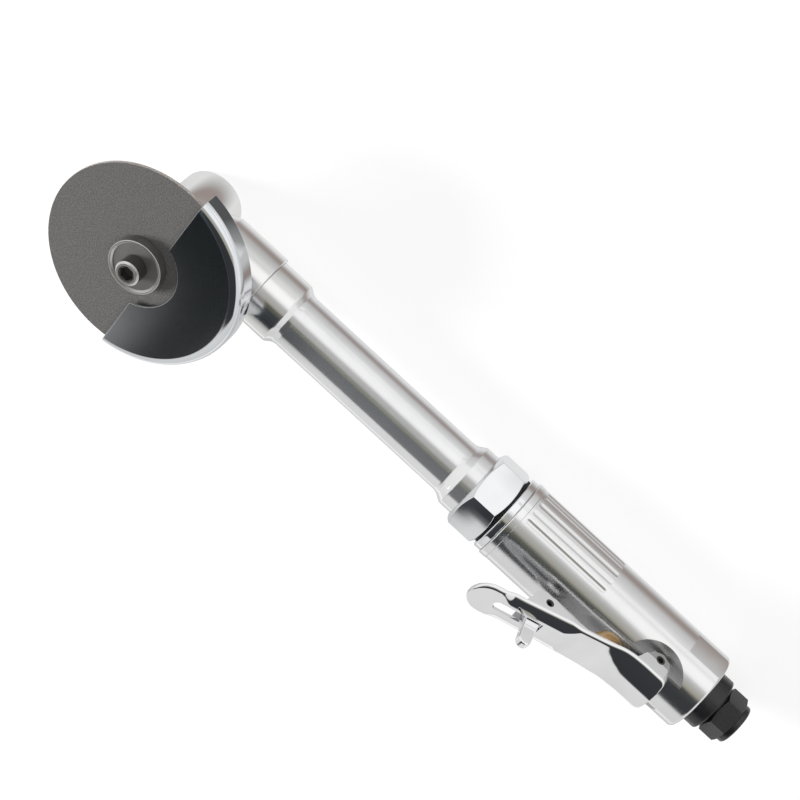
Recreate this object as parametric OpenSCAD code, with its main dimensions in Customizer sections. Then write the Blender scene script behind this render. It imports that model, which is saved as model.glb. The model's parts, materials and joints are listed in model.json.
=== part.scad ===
// Pneumatic cut off tool with an extended angle head, as separate pieces. Units are millimetres.
// Origin: centre of the air inlet's mouth. X runs along the tool towards the wheel.
// Z runs along the wheel spindle, out of the wheel's front face. The tool lies on its back.

/* [Air inlet] */
// Radius of the ring at the inlet's mouth
inlet_ring_r = 8.1; // [7.6:0.1:8.4]
// Length of the ring at the inlet's mouth
inlet_ring_len = 2.4; // [1.6:0.1:4]
// Inlet hexagon across its flats
inlet_hex_af = 17; // [16.6:0.1:18]
// Length of the inlet hexagon
inlet_hex_len = 7.5; // [6:0.1:10]
// Radius of the tapped air hole
inlet_bore_r = 5.6; // [5.2:0.05:5.9]
// Depth of the tapped air hole
inlet_bore_len = 14; // [12:0.5:18]
// Outer radius of the bushing's threaded shank
inlet_shank_r = 7.5; // [7.2:0.1:7.8]
// Width of the open groove between the hexagon and the exhaust sleeve
sleeve_gap = 1; // [0.6:0.1:2]
// Outer diameter of the exhaust sleeve
sleeve_d = 21.8; // [21.4:0.1:24]
// Length of the exhaust sleeve that shows
sleeve_len = 6.5; // [5:0.1:9]

/* [Motor housing] */
// Outer diameter of the motor housing
housing_d = 32.6; // [32.2:0.1:34]
// Length of the motor housing
housing_len = 93.4; // [92:0.2:98]
// How far the flange at the front of the housing stands out
flange_lip = 0.2; // [0.1:0.1:1]
// Width of the flange at the front of the housing
flange_w = 2.9; // [2:0.1:4]
// Rounding of the housing's rear edge
housing_round = 1.6; // [0.8:0.1:2.4]
// Depth of each wrench flat at the rear
wrench_cut = 0.8; // [0.4:0.1:1.2]
// Length of the wrench flats
wrench_len = 15.2; // [10:0.2:17]
// Number of grip flutes on each side
flute_count = 9; // [5:1:9]
// Angle between the grip flutes
flute_step = 15; // [13:0.5:15]
// Length of the grip flutes
flute_len = 39.3; // [30:0.1:40]
// Radius of the cutter that makes a grip flute
flute_r = 1.7; // [1.4:0.1:1.9]
// Depth of a grip flute
flute_depth = 0.8; // [0.4:0.1:1]

/* [Throttle] */
// Distance from the housing's rear end to the lever's pivot
pivot_in = 20.8; // [20:0.1:24]
// Depth of the lever's pivot below the housing's top
pivot_depth = 3.8; // [3.4:0.1:4]
// Radius of the lever's hollow pivot pin
pivot_pin_r = 1.75; // [1.5:0.05:1.9]
// Sheet thickness of the lever
lever_t = 1.3; // [1:0.1:1.5]
// Outer width of the lever at its pivot
lever_rear_w = 19; // [18.8:0.1:20]
// Outer width of the lever at its front
lever_front_w = 15.2; // [14.4:0.1:17]
// Height of the lever's top face over the housing at the pivot
lever_rise = 5.7; // [5.4:0.1:6.6]
// Slope of the lever's grip
lever_slope = 20.5; // [20:0.5:24]
// Length of the sloped grip
lever_len = 57.2; // [54:0.2:62]
// Outer radius of the folded edges at the pivot
lever_fold_rear = 3.6; // [3:0.1:5]
// Outer radius of the folded edges at the front
lever_fold_front = 3.2; // [2.6:0.1:4.2]
// Distance from the pivot to the valve stem
valve_arm = 17.4; // [17:0.1:19]
// Radius of the brass valve bushing
valve_bush_r = 6.2; // [5.6:0.1:6.4]
// Radius of the valve stem
valve_stem_r = 2; // [1.6:0.1:2.4]
// Radius of the lock tab's hollow pin
lock_pin_r = 1.6; // [1.3:0.05:1.7]
// Thickness of the lock tab
tab_t = 3.4; // [2.6:0.1:3.6]
// Width of the lock tab's finger
tab_w = 5; // [4:0.1:5.4]
// Height of the lock tab over its pin
tab_h = 17.6; // [16:0.2:22]
// Number of turns of the valve spring
valve_spring_turns = 5; // [4:1:6]

/* [Air motor] */
// Diameter of the air motor in the housing
motor_d = 26; // [25:0.2:27]
// Distance from the valve bushing to the air motor
motor_gap = 6.2; // [5:0.1:8]
// Thickness of each motor end plate
plate_t = 6; // [5.8:0.1:6.2]
// Least wall of the motor cylinder
cylinder_wall = 1.2; // [1:0.1:1.4]
// Offset of the motor cylinder's bore
cylinder_offset = 1.2; // [1:0.1:1.2]
// Least gap between the rotor and the motor cylinder
rotor_side = 0.3; // [0.2:0.1:0.8]
// Radius of the rotor's shaft
rotor_shaft_r = 4; // [3.6:0.1:4.2]
// Width of the rotor bearings
rotor_bearing_w = 5; // [4.4:0.1:5]
// Thickness of a rotor vane
vane_t = 1.6; // [1.2:0.1:1.8]

/* [Extension] */
// Length of the chromed lock ring
lock_ring_len = 3.1; // [2.5:0.1:4]
// Wall of the chromed lock ring
lock_ring_wall = 2.9; // [2.4:0.1:3.5]
// Width of the seal behind the clamp nut
nut_seal_len = 0.9; // [0.6:0.1:1.5]
// Wall of the clamp nut at its flats
nut_wall = 2; // [1.8:0.1:3]
// Length of the clamp nut
nut_len = 13.1; // [11:0.1:15]
// Diameter of the collar in front of the clamp nut
collar_d = 26.4; // [26.4:0.1:27.4]
// Length of the collar in front of the clamp nut
collar_len = 5.4; // [4:0.1:8]
// Length of the flare behind the slim tube
flare_len = 4.3; // [3:0.1:6]
// Diameter of the slim tube
tube_d = 22; // [21:0.1:24]
// Length of the slim tube
tube_len = 77.8; // [60:0.2:100]
// Length of the taper in front of the slim tube
taper_len = 3.9; // [3:0.1:6]
// Diameter of the front collar
front_collar_d = 26.2; // [25.6:0.1:27]
// Length of the front collar
front_collar_len = 12.6; // [11:0.1:16]
// Bore radius of the extension tube
tube_bore_r = 9; // [8.4:0.1:9.2]
// Radius of the drive shaft
shaft_r = 3.5; // [3.2:0.1:3.9]

/* [Angle head] */
// Distance from the front collar to the spindle axis
neck_len = 36; // [35.4:0.1:39]
// Diameter of the head's neck
neck_d = 28.5; // [28:0.1:30]
// Diameter of the head round the spindle
head_d = 25.3; // [25.1:0.1:26.4]
// Depth of the head behind the tool axis
head_back = 17.8; // [17.6:0.1:19]
// Radius of the head's nose
nose_r = 11; // [10.8:0.05:11.2]
// Pitch radius of the bevel gears at their large end
gear_r = 8.5; // [8.2:0.05:8.6]
// Number of teeth of each bevel gear
gear_teeth = 14; // [12:1:14]
// Radius of the spindle in its front bearings
spindle_r = 5; // [4.9:0.05:5.2]

/* [Wheel and guard] */
// Diameter of the wheel
wheel_d = 76.2; // [70:0.1:76.6]
// Thickness of the wheel
wheel_t = 1.6; // [1:0.1:2.4]
// Radius of the wheel's bore
wheel_bore_r = 4.75; // [4.5:0.05:4.9]
// Height of the wheel's back face over the tool axis
wheel_z = 31.5; // [31.3:0.1:33]
// Radius of the flanges that hold the wheel
wheel_flange_r = 10.6; // [9:0.1:11.6]
// Thickness of the outer flange
outer_flange_t = 4.4; // [3.6:0.1:5]
// Radius of the wheel screw's head
screw_head_r = 4.8; // [4.4:0.1:5.2]
// Height of the wheel screw's head
screw_head_h = 6; // [5:0.1:7]
// Hexagon socket of the wheel screw across its flats
screw_socket_af = 5; // [4:0.1:5.4]
// Radius of the wheel screw's thread
screw_r = 3; // [2.5:0.1:3.2]
// Gap between the wheel and the guard's rim
guard_gap = 2.1; // [1.6:0.1:6]
// Sheet thickness of the guard
guard_t = 1.1; // [0.8:0.1:1.3]
// Width of the guard's rim
guard_w = 9.3; // [9.1:0.1:11]
// Bend radius of the guard's front edge
guard_bend = 2.3; // [1.6:0.1:3]
// Distance from the spindle axis to the guard's straight edges
guard_edge = 5.9; // [2:0.1:9]
// Radius of the cut-out in the guard's front plate
guard_cut_r = 16.5; // [14:0.1:20]

/* [Hidden] */
// Facets of round pieces
fn = 72;
// Radial running clearance of shafts and pins
run = 0.03;
// Side gap between sliding pieces
side = 0.3;
// Small overlap of joined bodies of one piece
lap = 0.05;
// Length of a shape that cuts right through
far = 80;

housing_r = housing_d / 2;
flange_r = housing_r + flange_lip;
motor_r = motor_d / 2;
sleeve_r = sleeve_d / 2;
x_hex = inlet_ring_len;
x_gap = x_hex + inlet_hex_len;
x_sleeve = x_gap + sleeve_gap;
x_house = x_sleeve + sleeve_len;
x_house_f = x_house + housing_len;
x_seal = x_house_f + lock_ring_len;
x_nut = x_seal + nut_seal_len;
x_collar = x_nut + nut_len;
x_flare = x_collar + collar_len;
x_tube = x_flare + flare_len;
x_taper = x_tube + tube_len;
x_front = x_taper + taper_len;
x_head = x_front + front_collar_len;
x_spin = x_head + neck_len;

// Inlet bushing, sleeve and their seats
inlet_hex_turn = 10.6;
spigot_len = 3.1;
sleeve_wall = 1;
sleeve_round = 0.8;
spigot_r = sleeve_r - sleeve_wall;
muffler_r = spigot_r - 1;
shank_len = 14;
x_shank = x_house + shank_len;
inlet_through_r = 4.2;
screen_in = 2;
screen_t = 1;
screen_hole_r = 0.7;
screen_hole_at = 2.4;
sleeve_end_t = 1.2;
sleeve_hole_r = 0.5;

// Air motor
cylinder_bore_r = motor_r - cylinder_wall - cylinder_offset;
rotor_r = cylinder_bore_r - cylinder_offset - rotor_side;
lock_ring_r = motor_r + lock_ring_wall;
nut_r = motor_r + nut_wall;
seal_r = nut_r - 0.6;
spigot_in = 4.8;
x_pivot = x_house + pivot_in;
x_valve = x_pivot + valve_arm;
x_motor = x_valve + valve_bush_r + motor_gap;
x_cyl = x_motor + plate_t;
x_plate_f = x_house_f - spigot_in - plate_t;
cylinder_len = x_plate_f - x_cyl;
rotor_bearing_r = (rotor_shaft_r + motor_r - 1) / 2;
rotor_gap = 0.3;
x_rotor_end = x_house_f + 1.2;
coupling_r = 6.2;
x_coupling = x_plate_f + plate_t + 1;
coupling_len = 11;
vane_foot = 4.9;
vane_clear = 0.25;
exhaust_hole_r = 1.2;
exhaust_hole_at = rotor_bearing_r + exhaust_hole_r + 0.4;
port_r = 1.7;
port_z = motor_r - 2.6;
shaft_bearing_w = 6;
shaft_bearing_in = 8;

// Valve
pivot_z = housing_r - pivot_depth;
lever_top = housing_r + lever_rise;
seat_z = 5;
chamber_r = 4.6;
chamber_z = -5.8;
bush_top = housing_r - 0.9;
bush_in_r = 3.5;
bush_guide_z = bush_top - 3;
bush_port_r = 1.2;
bush_round = 1.9;
poppet_r = 3.9;
poppet_z = 2.8;
poppet_t = 1.4;
boss_h = 1.2;
seal_t = 0.7;
valve_wire_r = 0.35;
valve_coil_r = 3;

// Lever: a folded sheet with ears at its pivot and at the lock tab
bend_r = 18;
x_lever = x_pivot - 6.5;
x_bend = x_pivot + 7.8;
rear_w = lever_rear_w / 2;
front_w = lever_front_w / 2;
web = rear_w - lever_t - side;
ear_arc = 5.3;
ear_up = 2;
pocket_r = 15.5;
pocket_z = pivot_z + ear_up - ear_arc - 0.4 + pocket_r;
ear_u0 = 19;
ear_u1 = 38;
ear_drop = 3.4;
edge_back = 0.6;
bend_z = lever_top + bend_r;
x_lock = x_bend + bend_r * sin(lever_slope) + 29.4 * cos(lever_slope) + 1.9;
lock_z = bend_z - bend_r * cos(lever_slope) + 29.4 * sin(lever_slope) - 5.3;
slot_u0 = 27.6;
slot_u1 = 47.2;
slot_half = tab_t / 2 + 0.4;
tab_lean = 4;
stem_x_u = (x_valve - x_bend - bend_r * sin(lever_slope)) / cos(lever_slope);
under_valve = bend_z - (bend_r + lever_t) * cos(lever_slope) + (stem_x_u - lever_t * tan(lever_slope))
    * sin(lever_slope);
stem_top = under_valve - 0.55;
lock_wire_r = 0.3;
lock_coil_r = 2.4;
lock_turns = 2.5;

// Angle head
neck_taper = 14;
neck_end = 5;
neck_r = neck_d / 2;
head_r = head_d / 2;
chamber_head_r = head_r - 1.85;
nose_bore_r = nose_r - 1.5;
head_top = 19;
nose_step = 3.9;
nose_top = wheel_z - nose_step;
spigot_f = 10;
spigot_f_r = 11;
pinion_bore_r = gear_r + 1.2;
gear_small = 0.667;
tooth_tip = 0.75;
tooth_root = 1.15;
x_big = x_spin - gear_r;
pinion_shaft_r = 4.5;
pinion_len = 15;
pinion_hub = 4;
pinion_hub_r = 7;
x_pinion = x_big - pinion_hub - pinion_len;
tail_r = 2.5;
tail_len = 7.5;
gear_seat_r = 4.5;
gear_hub = 3.5;
gear_hub_z = -gear_r - gear_hub;
cap_gap = 0.4;
cap_top = gear_hub_z - cap_gap;
cap_proud = 0.4;
cap_hole_r = 1;
cap_hole_deep = 0.9;
low_shaft_r = 4;
low_bearing_r = 8;
low_bearing_w = 4;
bearing_1_z = 12;
bearing_2_z = 17.5;
bearing_w = 5;
retainer_z = 22.7;
retainer_in = 1;
retainer_top = nose_top - retainer_in;
retainer_hole_r = 0.9;
retainer_hole_deep = 1.5;
retainer_clear = 0.5;

// Wheel and guard
inner_flange_t = 3.3;
inner_flange_z = wheel_z - inner_flange_t;
wheel_front = wheel_z + wheel_t;
dish = 0.8;
spanner_cut = 2.1;
spanner_h = 1.6;
stub_top = wheel_front - 0.5;
screw_end = 20;
socket_deep = 3.2;
guard_r = wheel_d / 2 + guard_gap + guard_t;
guard_back_z = inner_flange_z - 1.8;
guard_front_z = guard_back_z + guard_w;
collar_r = nose_r + 2.2;
guard_collar_z = 19.5;
guard_run = 0.05;
clamp_x = x_spin + nose_r + 4.6;
clamp_z = 22.9;
clamp_screw_r = 2;
clamp_head_r = 3.4;
clamp_head_h = 3.8;
clamp_socket_af = 3;
clamp_socket_deep = 2;
clamp_nut_af = 6.2;
clamp_nut_h = 3.2;
clamp_ear = 4.8;
clamp_ear_x = clamp_x + 3.6;
clamp_slit = 0.8;

// Profile of [radius, position] turned about the tool axis
module turn_x() {
    rotate([0, 90, 0])
        rotate_extrude($fn = fn)
            children();
}

// Profile of [radius, height] turned about a vertical axis at x
module turn_z(x) {
    translate([x, 0, 0])
        rotate_extrude($fn = fn)
            children();
}

module rect(r0, r1, h0, h1) {
    translate([r0, h0])
        square([r1 - r0, h1 - h0]);
}

// What a rounded corner takes off a profile: corner p, radius f, outward signs q
module nick(p, f, q) {
    c = [p[0] - q[0] * f, p[1] - q[1] * f];
    difference() {
        translate([q[0] > 0 ? c[0] : p[0] - 1, q[1] > 0 ? c[1] : p[1] - 1])
            square([f + 1, f + 1]);
        translate(c)
            circle(r = f, $fn = 48);
    }
}

module rod_x(r, x0, x1, z = 0) {
    translate([x0, 0, z])
        rotate([0, 90, 0])
            cylinder(r = r, h = x1 - x0, $fn = fn);
}

module rod_y(r, x, z, y0, y1) {
    translate([x, y0, z])
        rotate([-90, 0, 0])
            cylinder(r = r, h = y1 - y0, $fn = 48);
}

module rod_z(r, x, z0, z1) {
    translate([x, 0, z0])
        cylinder(r = r, h = z1 - z0, $fn = fn);
}

// Plate that stands in the XZ plane, from a profile of [x, z]
module plate_y(w) {
    rotate([90, 0, 0])
        linear_extrude(height = w, center = true)
            children();
}

// Section of [y, z] drawn out along X
module draw_x(x0, x1) {
    translate([x0, 0, 0])
        rotate([90, 0, 90])
            linear_extrude(height = x1 - x0)
                children();
}

module hex_x(af, x0, x1, turn) {
    translate([x0, 0, 0])
        rotate([turn, 0, 0])
            rotate([0, 90, 0])
                cylinder(r = af / sqrt(3), h = x1 - x0, $fn = 6);
}

// Closed ball bearing section between two radii, drawn out from h0
module bearing(r0, r1, h0, w) {
    m = (r1 - r0) * 0.3;
    difference() {
        rect(r0, r1, h0, h0 + w);
        rect(r0 + m, r1 - m, h0 - 1, h0 + 0.3);
        rect(r0 + m, r1 - m, h0 + w - 0.3, h0 + w + 1);
    }
}

// Round wire wound about Z as one tube, with straight ends
function coil_ring(c, w, a) = [for (j = [0 : 5])
    [c[0] + w * cos(60 * j) * cos(a), c[1] + w * cos(60 * j) * sin(a), c[2] + w * sin(60 * j)]];

module coil(r, w, turns, len, leg, a0) {
    n = ceil(turns * 8);
    rise = len - 2 * w;
    a1 = a0 + 360 * turns;
    echo(str("least gap between turns ", rise / turns - 2 * w));
    start = [r * cos(a0) + leg * sin(a0), r * sin(a0) - leg * cos(a0), w];
    end = [r * cos(a1) - leg * sin(a1), r * sin(a1) + leg * cos(a1), len - w];
    mid = [for (i = [0 : n])
        let (a = a0 + 360 * turns * i / n)
        coil_ring([r * cos(a), r * sin(a), w + rise * i / n], w, a)];
    rings = leg > 0 ? concat([coil_ring(start, w, a0)], mid, [coil_ring(end, w, a1)]) : mid;
    m = len(rings);
    pts = [for (k = [0 : m - 1]) each rings[k]];
    sides = [for (k = [0 : m - 2]) for (j = [0 : 5])
        [k * 6 + j, k * 6 + (j + 1) % 6, (k + 1) * 6 + (j + 1) % 6, (k + 1) * 6 + j]];
    quads = [for (s = sides) each [[s[0], s[1], s[2]], [s[0], s[2], s[3]]]];
    caps = [[5, 4, 3, 2, 1, 0], [for (j = [0 : 5]) (m - 1) * 6 + j]];
    polyhedron(points = pts, faces = concat(quads, caps), convexity = 6);
}

module motor_housing() {
    color([0.80, 0.81, 0.83])
        difference() {
            turn_x()
                difference() {
                    union() {
                        rect(0, housing_r, x_house, x_house_f);
                        rect(0, flange_r, x_house_f - flange_w, x_house_f);
                    }
                    nick([housing_r, x_house], housing_round, [1, -1]);
                    nick([flange_r, x_house_f], 0.5, [1, 1]);
                }
            rod_x(motor_r, x_motor, x_house_f + 1);
            rod_x(inlet_shank_r, x_house - 1, x_shank);
            rod_x(spigot_r, x_house - 1, x_house + spigot_len);
            rod_x(inlet_through_r - 0.8, x_shank - 1, x_valve);
            rod_z(chamber_r, x_valve, chamber_z, seat_z + 1);
            rod_z(valve_bush_r, x_valve, seat_z, far);
            rod_x(port_r, x_valve + chamber_r, x_motor + 1, port_z);
            for (a = [115, 145, 215, 245])
                rotate([a, 0, 0])
                    rod_x(exhaust_hole_r, x_house + 1, x_motor + 1, exhaust_hole_at);
            for (s = [-1, 1])
                rod_y(pocket_r, x_pivot, pocket_z, s > 0 ? web : -far, s > 0 ? far : -web);
            for (s = [-1, 1])
                translate([x_house - 1, s > 0 ? housing_r - wrench_cut : wrench_cut - housing_r - far, -far])
                    cube([wrench_len + 1, far, 2 * far]);
            rod_y(pivot_pin_r, x_pivot, pivot_z, -far, far);
            for (s = [-1, 1])
                for (i = [0 : flute_count - 1])
                    rotate([s * (53 + i * flute_step), 0, 0])
                        flute();
        }
}

// One round-ended groove along the top of the housing
module flute() {
    x1 = x_house_f - flange_w - 0.4;
    x0 = x1 - flute_len;
    h = housing_r + flute_r - flute_depth;
    rod_x(flute_r, x0 + flute_r, x1 - flute_r, h);
    for (x = [x0 + flute_r, x1 - flute_r])
        translate([x, 0, h])
            sphere(r = flute_r, $fn = 32);
}

module inlet_bushing() {
    color([0.10, 0.10, 0.11])
        difference() {
            union() {
                turn_x()
                    difference() {
                        rect(0, inlet_ring_r, 0, x_hex + lap);
                        nick([inlet_ring_r, 0], 1, [1, -1]);
                    }
                intersection() {
                    hex_x(inlet_hex_af, x_hex, x_gap, inlet_hex_turn);
                    turn_x()
                        polygon([[0, x_hex], [inlet_hex_af / 2, x_hex],
                            [inlet_hex_af / 2 + 1.6, x_hex + 0.8], [inlet_hex_af / 2 + 1.6, x_gap - 0.8],
                            [inlet_hex_af / 2, x_gap], [0, x_gap]]);
                }
                rod_x(inlet_shank_r, x_gap - lap, x_shank);
            }
            rod_x(inlet_bore_r, -1, inlet_bore_len);
            rod_x(inlet_through_r, 0, x_shank + 1);
        }
}

module inlet_screen() {
    color([0.72, 0.66, 0.45])
        difference() {
            rod_x(inlet_through_r, inlet_bore_len + screen_in, inlet_bore_len + screen_in + screen_t);
            for (a = [0 : 60 : 300])
                rotate([a, 0, 0])
                    rod_x(screen_hole_r, inlet_bore_len, far, screen_hole_at);
            rod_x(screen_hole_r, inlet_bore_len, far);
        }
}

module exhaust_sleeve() {
    color([0.07, 0.07, 0.08])
        difference() {
            turn_x()
                difference() {
                    union() {
                        rect(inlet_shank_r, sleeve_r, x_sleeve, x_house);
                        rect(muffler_r, spigot_r, x_house - lap, x_house + spigot_len);
                    }
                    rect(0, muffler_r, x_sleeve + sleeve_end_t, far);
                    nick([sleeve_r, x_sleeve], sleeve_round, [1, -1]);
                }
            for (a = [0 : 45 : 315])
                rotate([a, 0, 0])
                    rod_x(sleeve_hole_r, x_sleeve - 1, x_sleeve + 2, (inlet_shank_r + muffler_r) / 2);
        }
}

module exhaust_muffler() {
    color([0.45, 0.44, 0.40])
        turn_x()
            rect(inlet_shank_r, muffler_r, x_sleeve + sleeve_end_t, x_house + spigot_len - 0.4);
}

module valve_bushing() {
    color([0.80, 0.58, 0.22])
        difference() {
            turn_z(x_valve)
                difference() {
                    rect(valve_stem_r + run, valve_bush_r, seat_z, bush_top);
                    rect(0, bush_in_r, seat_z - 1, bush_guide_z);
                    nick([valve_bush_r, bush_top], bush_round, [1, 1]);
                }
            for (a = [0, 90])
                translate([x_valve, 0, port_z])
                    rotate([90, 0, a])
                        cylinder(r = bush_port_r, h = far, center = true, $fn = 32);
        }
}

module valve_stem() {
    color([0.80, 0.58, 0.22])
        turn_z(x_valve)
            difference() {
                union() {
                    rect(0, valve_stem_r, poppet_z, stem_top);
                    rect(0, poppet_r, poppet_z, poppet_z + poppet_t);
                    rect(0, valve_coil_r - 2 * valve_wire_r, poppet_z - boss_h, poppet_z + lap);
                }
                nick([valve_stem_r, stem_top], 0.9, [1, 1]);
            }
}

module valve_seal() {
    color([0.08, 0.08, 0.08])
        turn_z(x_valve)
            rect(valve_stem_r, poppet_r, poppet_z + poppet_t, poppet_z + poppet_t + seal_t);
}

module valve_spring() {
    color([0.75, 0.76, 0.77])
        translate([x_valve, 0, chamber_z])
            coil(valve_coil_r, valve_wire_r, valve_spring_turns, poppet_z - chamber_z, 0, 0);
}

// Folded channel: half width w, outer radius f, sheet t, depth d below its top
module channel(w, f, t, d) {
    difference() {
        union() {
            translate([-w, -d])
                square([2 * w, d - f]);
            translate([f - w, -d])
                square([2 * (w - f), d]);
            for (s = [-1, 1])
                translate([s * (w - f), -f])
                    circle(r = f, $fn = 64);
        }
        translate([t - w, -d - 1])
            square([2 * (w - t), d + 1 - f]);
        translate([f - w, -d - 1])
            square([2 * (w - f), d + 1 - t]);
        for (s = [-1, 1])
            translate([s * (w - f), -f])
                circle(r = f - t, $fn = 64);
    }
}

// Frame of the sloped grip: X along the slope, Z out of its top face
module on_slope() {
    translate([x_bend, 0, bend_z])
        rotate([0, -lever_slope, 0])
            translate([0, 0, -bend_r])
                children();
}

module lever_sheet() {
    intersection() {
        translate([0, 0, lever_top])
            draw_x(x_lever, x_bend + lap)
                channel(rear_w, lever_fold_rear, lever_t, 14);
        plate_y(far)
            union() {
                translate([x_pivot, pivot_z + ear_up])
                    circle(r = ear_arc, $fn = 64);
                polygon([[x_lever, lever_top + 1], [x_lever, pivot_z + 5.5],
                    [x_pivot - ear_arc + 0.1, pivot_z + 0.9], [x_pivot + ear_arc - 0.1, pivot_z + 0.9],
                    [x_bend - 0.6, pivot_z + 6.6], [x_bend + 1, pivot_z + 7.4], [x_bend + 1, lever_top + 1]]);
            }
    }
    plate_y(2 * (rear_w - edge_back))
        intersection() {
            translate([x_bend, bend_z])
                difference() {
                    circle(r = bend_r + lever_t, $fn = 180);
                    circle(r = bend_r, $fn = 180);
                }
            translate([x_bend, bend_z])
                polygon([[0, 0], [0, -far], [far * tan(lever_slope), -far]]);
        }
    on_slope() {
        translate([0, 0, -lever_t])
            linear_extrude(height = lever_t)
                union() {
                    polygon([[-lap, edge_back - rear_w], [ear_u0 - 3, edge_back - front_w],
                        [ear_u0 + lap, edge_back - front_w], [ear_u0 + lap, front_w - edge_back],
                        [ear_u0 - 3, front_w - edge_back], [-lap, rear_w - edge_back]]);
                    translate([ear_u1 - lap, -front_w])
                        square([lever_len - ear_u1 - front_w + lap, 2 * front_w]);
                    translate([lever_len - front_w, 0])
                        circle(r = front_w, $fn = 64);
                }
    }
    intersection() {
        on_slope()
            draw_x(ear_u0, ear_u1)
                channel(front_w, lever_fold_front, lever_t, 16);
        plate_y(far)
            polygon([[x_lock - far, lock_z - 1.6], [x_lock - 12, lock_z - 1.8], [x_lock, lock_z - ear_drop],
                [x_lock + 3.4, lock_z - ear_drop], [x_lock + 6, lock_z - 1.4], [x_lock + 6.6, lock_z + 3],
                [x_lock + 6.6, lock_z + far], [x_lock - far, lock_z + far]]);
    }
}

module throttle_lever() {
    color([0.78, 0.79, 0.80])
        difference() {
            lever_sheet();
            rod_y(pivot_pin_r + run, x_pivot, pivot_z, -far, far);
            rod_y(lock_pin_r, x_lock, lock_z, -far, far);
            on_slope()
                translate([0, 0, -lever_t - 1])
                    linear_extrude(height = lever_t + 2)
                        union() {
                            translate([slot_u0, -slot_half])
                                square([slot_u1 - slot_half - slot_u0, 2 * slot_half]);
                            translate([slot_u1 - slot_half, 0])
                                circle(r = slot_half, $fn = 48);
                        }
        }
}

module lever_pin() {
    color([0.20, 0.20, 0.21])
        difference() {
            rod_y(pivot_pin_r, x_pivot, pivot_z, -rear_w - 0.1, rear_w + 0.1);
            rod_y(pivot_pin_r - 0.6, x_pivot, pivot_z, -far, far);
        }
}

module lock_tab() {
    tip = [x_lock - tab_h * sin(tab_lean), lock_z + tab_h * cos(tab_lean)];
    color([0.76, 0.77, 0.78])
        difference() {
            plate_y(tab_t)
                difference() {
                    union() {
                        translate([x_lock, lock_z])
                            circle(r = lock_pin_r + 1.5, $fn = 48);
                        polygon([[x_lock - 2.6, lock_z], [x_lock + 2.9, lock_z], [x_lock + 3.2, lock_z + 7],
                            [tip[0] + tab_w / 2, tip[1] - tab_w / 2],
                            [tip[0] - tab_w / 2, tip[1] - tab_w / 2], [x_lock - 2.7, lock_z + 7]]);
                        translate([tip[0], tip[1] - tab_w / 2])
                            circle(r = tab_w / 2, $fn = 48);
                    }
                    translate([x_lock, lock_z])
                        circle(r = lock_pin_r + run, $fn = 48);
                }
        }
}

module lock_pin() {
    color([0.20, 0.20, 0.21])
        difference() {
            rod_y(lock_pin_r, x_lock, lock_z, -front_w - 0.1, front_w + 0.1);
            rod_y(lock_pin_r - 0.55, x_lock, lock_z, -far, far);
        }
}

module lock_spring() {
    color([0.75, 0.76, 0.77])
        translate([x_lock, tab_t / 2 + 0.5, lock_z])
            rotate([-90, 0, 0])
                coil(lock_coil_r, lock_wire_r, lock_turns, front_w - lever_t - tab_t / 2 - 0.8, 3.4, 150);
}

module rear_end_plate() {
    color([0.55, 0.55, 0.57])
        difference() {
            turn_x()
                difference() {
                    rect(0, motor_r, x_motor, x_cyl);
                    rect(0, rotor_bearing_r, x_motor - 1, x_motor + rotor_bearing_w);
                    rect(0, rotor_shaft_r + 1, x_motor, x_cyl + 1);
                }
            rod_x(port_r, x_motor - 1, x_cyl + 1, port_z);
            for (a = [115, 145, 215, 245])
                rotate([a, 0, 0])
                    rod_x(exhaust_hole_r, x_motor - 1, x_cyl + 1, exhaust_hole_at);
        }
}

module motor_cylinder() {
    color([0.60, 0.60, 0.62])
        difference() {
            rod_x(motor_r, x_cyl, x_plate_f);
            rod_x(cylinder_bore_r, x_cyl - 1, x_plate_f + 1, cylinder_offset);
            for (x = [0.3, 0.5, 0.7])
                translate([x_cyl + cylinder_len * x, 0, -motor_r])
                    cylinder(r = 1.2, h = motor_r, $fn = 32);
        }
}

module front_end_plate() {
    x1 = x_plate_f + plate_t;
    color([0.55, 0.55, 0.57])
        turn_x()
            difference() {
                rect(0, motor_r, x_plate_f, x1);
                rect(0, rotor_bearing_r, x1 - rotor_bearing_w, x1 + 1);
                rect(0, rotor_shaft_r + 1, x_plate_f - 1, x1);
            }
}

module rear_rotor_bearing() {
    color([0.62, 0.63, 0.65])
        turn_x()
            bearing(rotor_shaft_r + run, rotor_bearing_r, x_motor, rotor_bearing_w);
}

module front_rotor_bearing() {
    x0 = x_plate_f + plate_t - rotor_bearing_w;
    color([0.62, 0.63, 0.65])
        turn_x()
            bearing(rotor_shaft_r + run, rotor_bearing_r, x0, rotor_bearing_w);
}

module rotor() {
    x0 = x_cyl + rotor_gap;
    x1 = x_plate_f - rotor_gap;
    color([0.50, 0.51, 0.53])
        difference() {
            turn_x()
                union() {
                    rect(0, rotor_r, x0, x1);
                    rect(0, rotor_shaft_r, x_motor + 0.4, x_rotor_end);
                }
            for (a = [0 : 90 : 270])
                rotate([a, 0, 0])
                    translate([x0 - 1, -vane_t / 2, vane_foot])
                        cube([x1 - x0 + 2, vane_t, far]);
        }
}

module vane(i) {
    x0 = x_cyl + rotor_gap;
    x1 = x_plate_f - rotor_gap;
    color([0.35, 0.22, 0.12])
        rotate([90 * i, 0, 0])
            translate([x0, -vane_t / 2, vane_foot])
                cube([x1 - x0, vane_t, rotor_r - vane_foot - vane_clear]);
}

module vane_1() {
    vane(0);
}

module vane_2() {
    vane(1);
}

module vane_3() {
    vane(2);
}

module vane_4() {
    vane(3);
}

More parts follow.
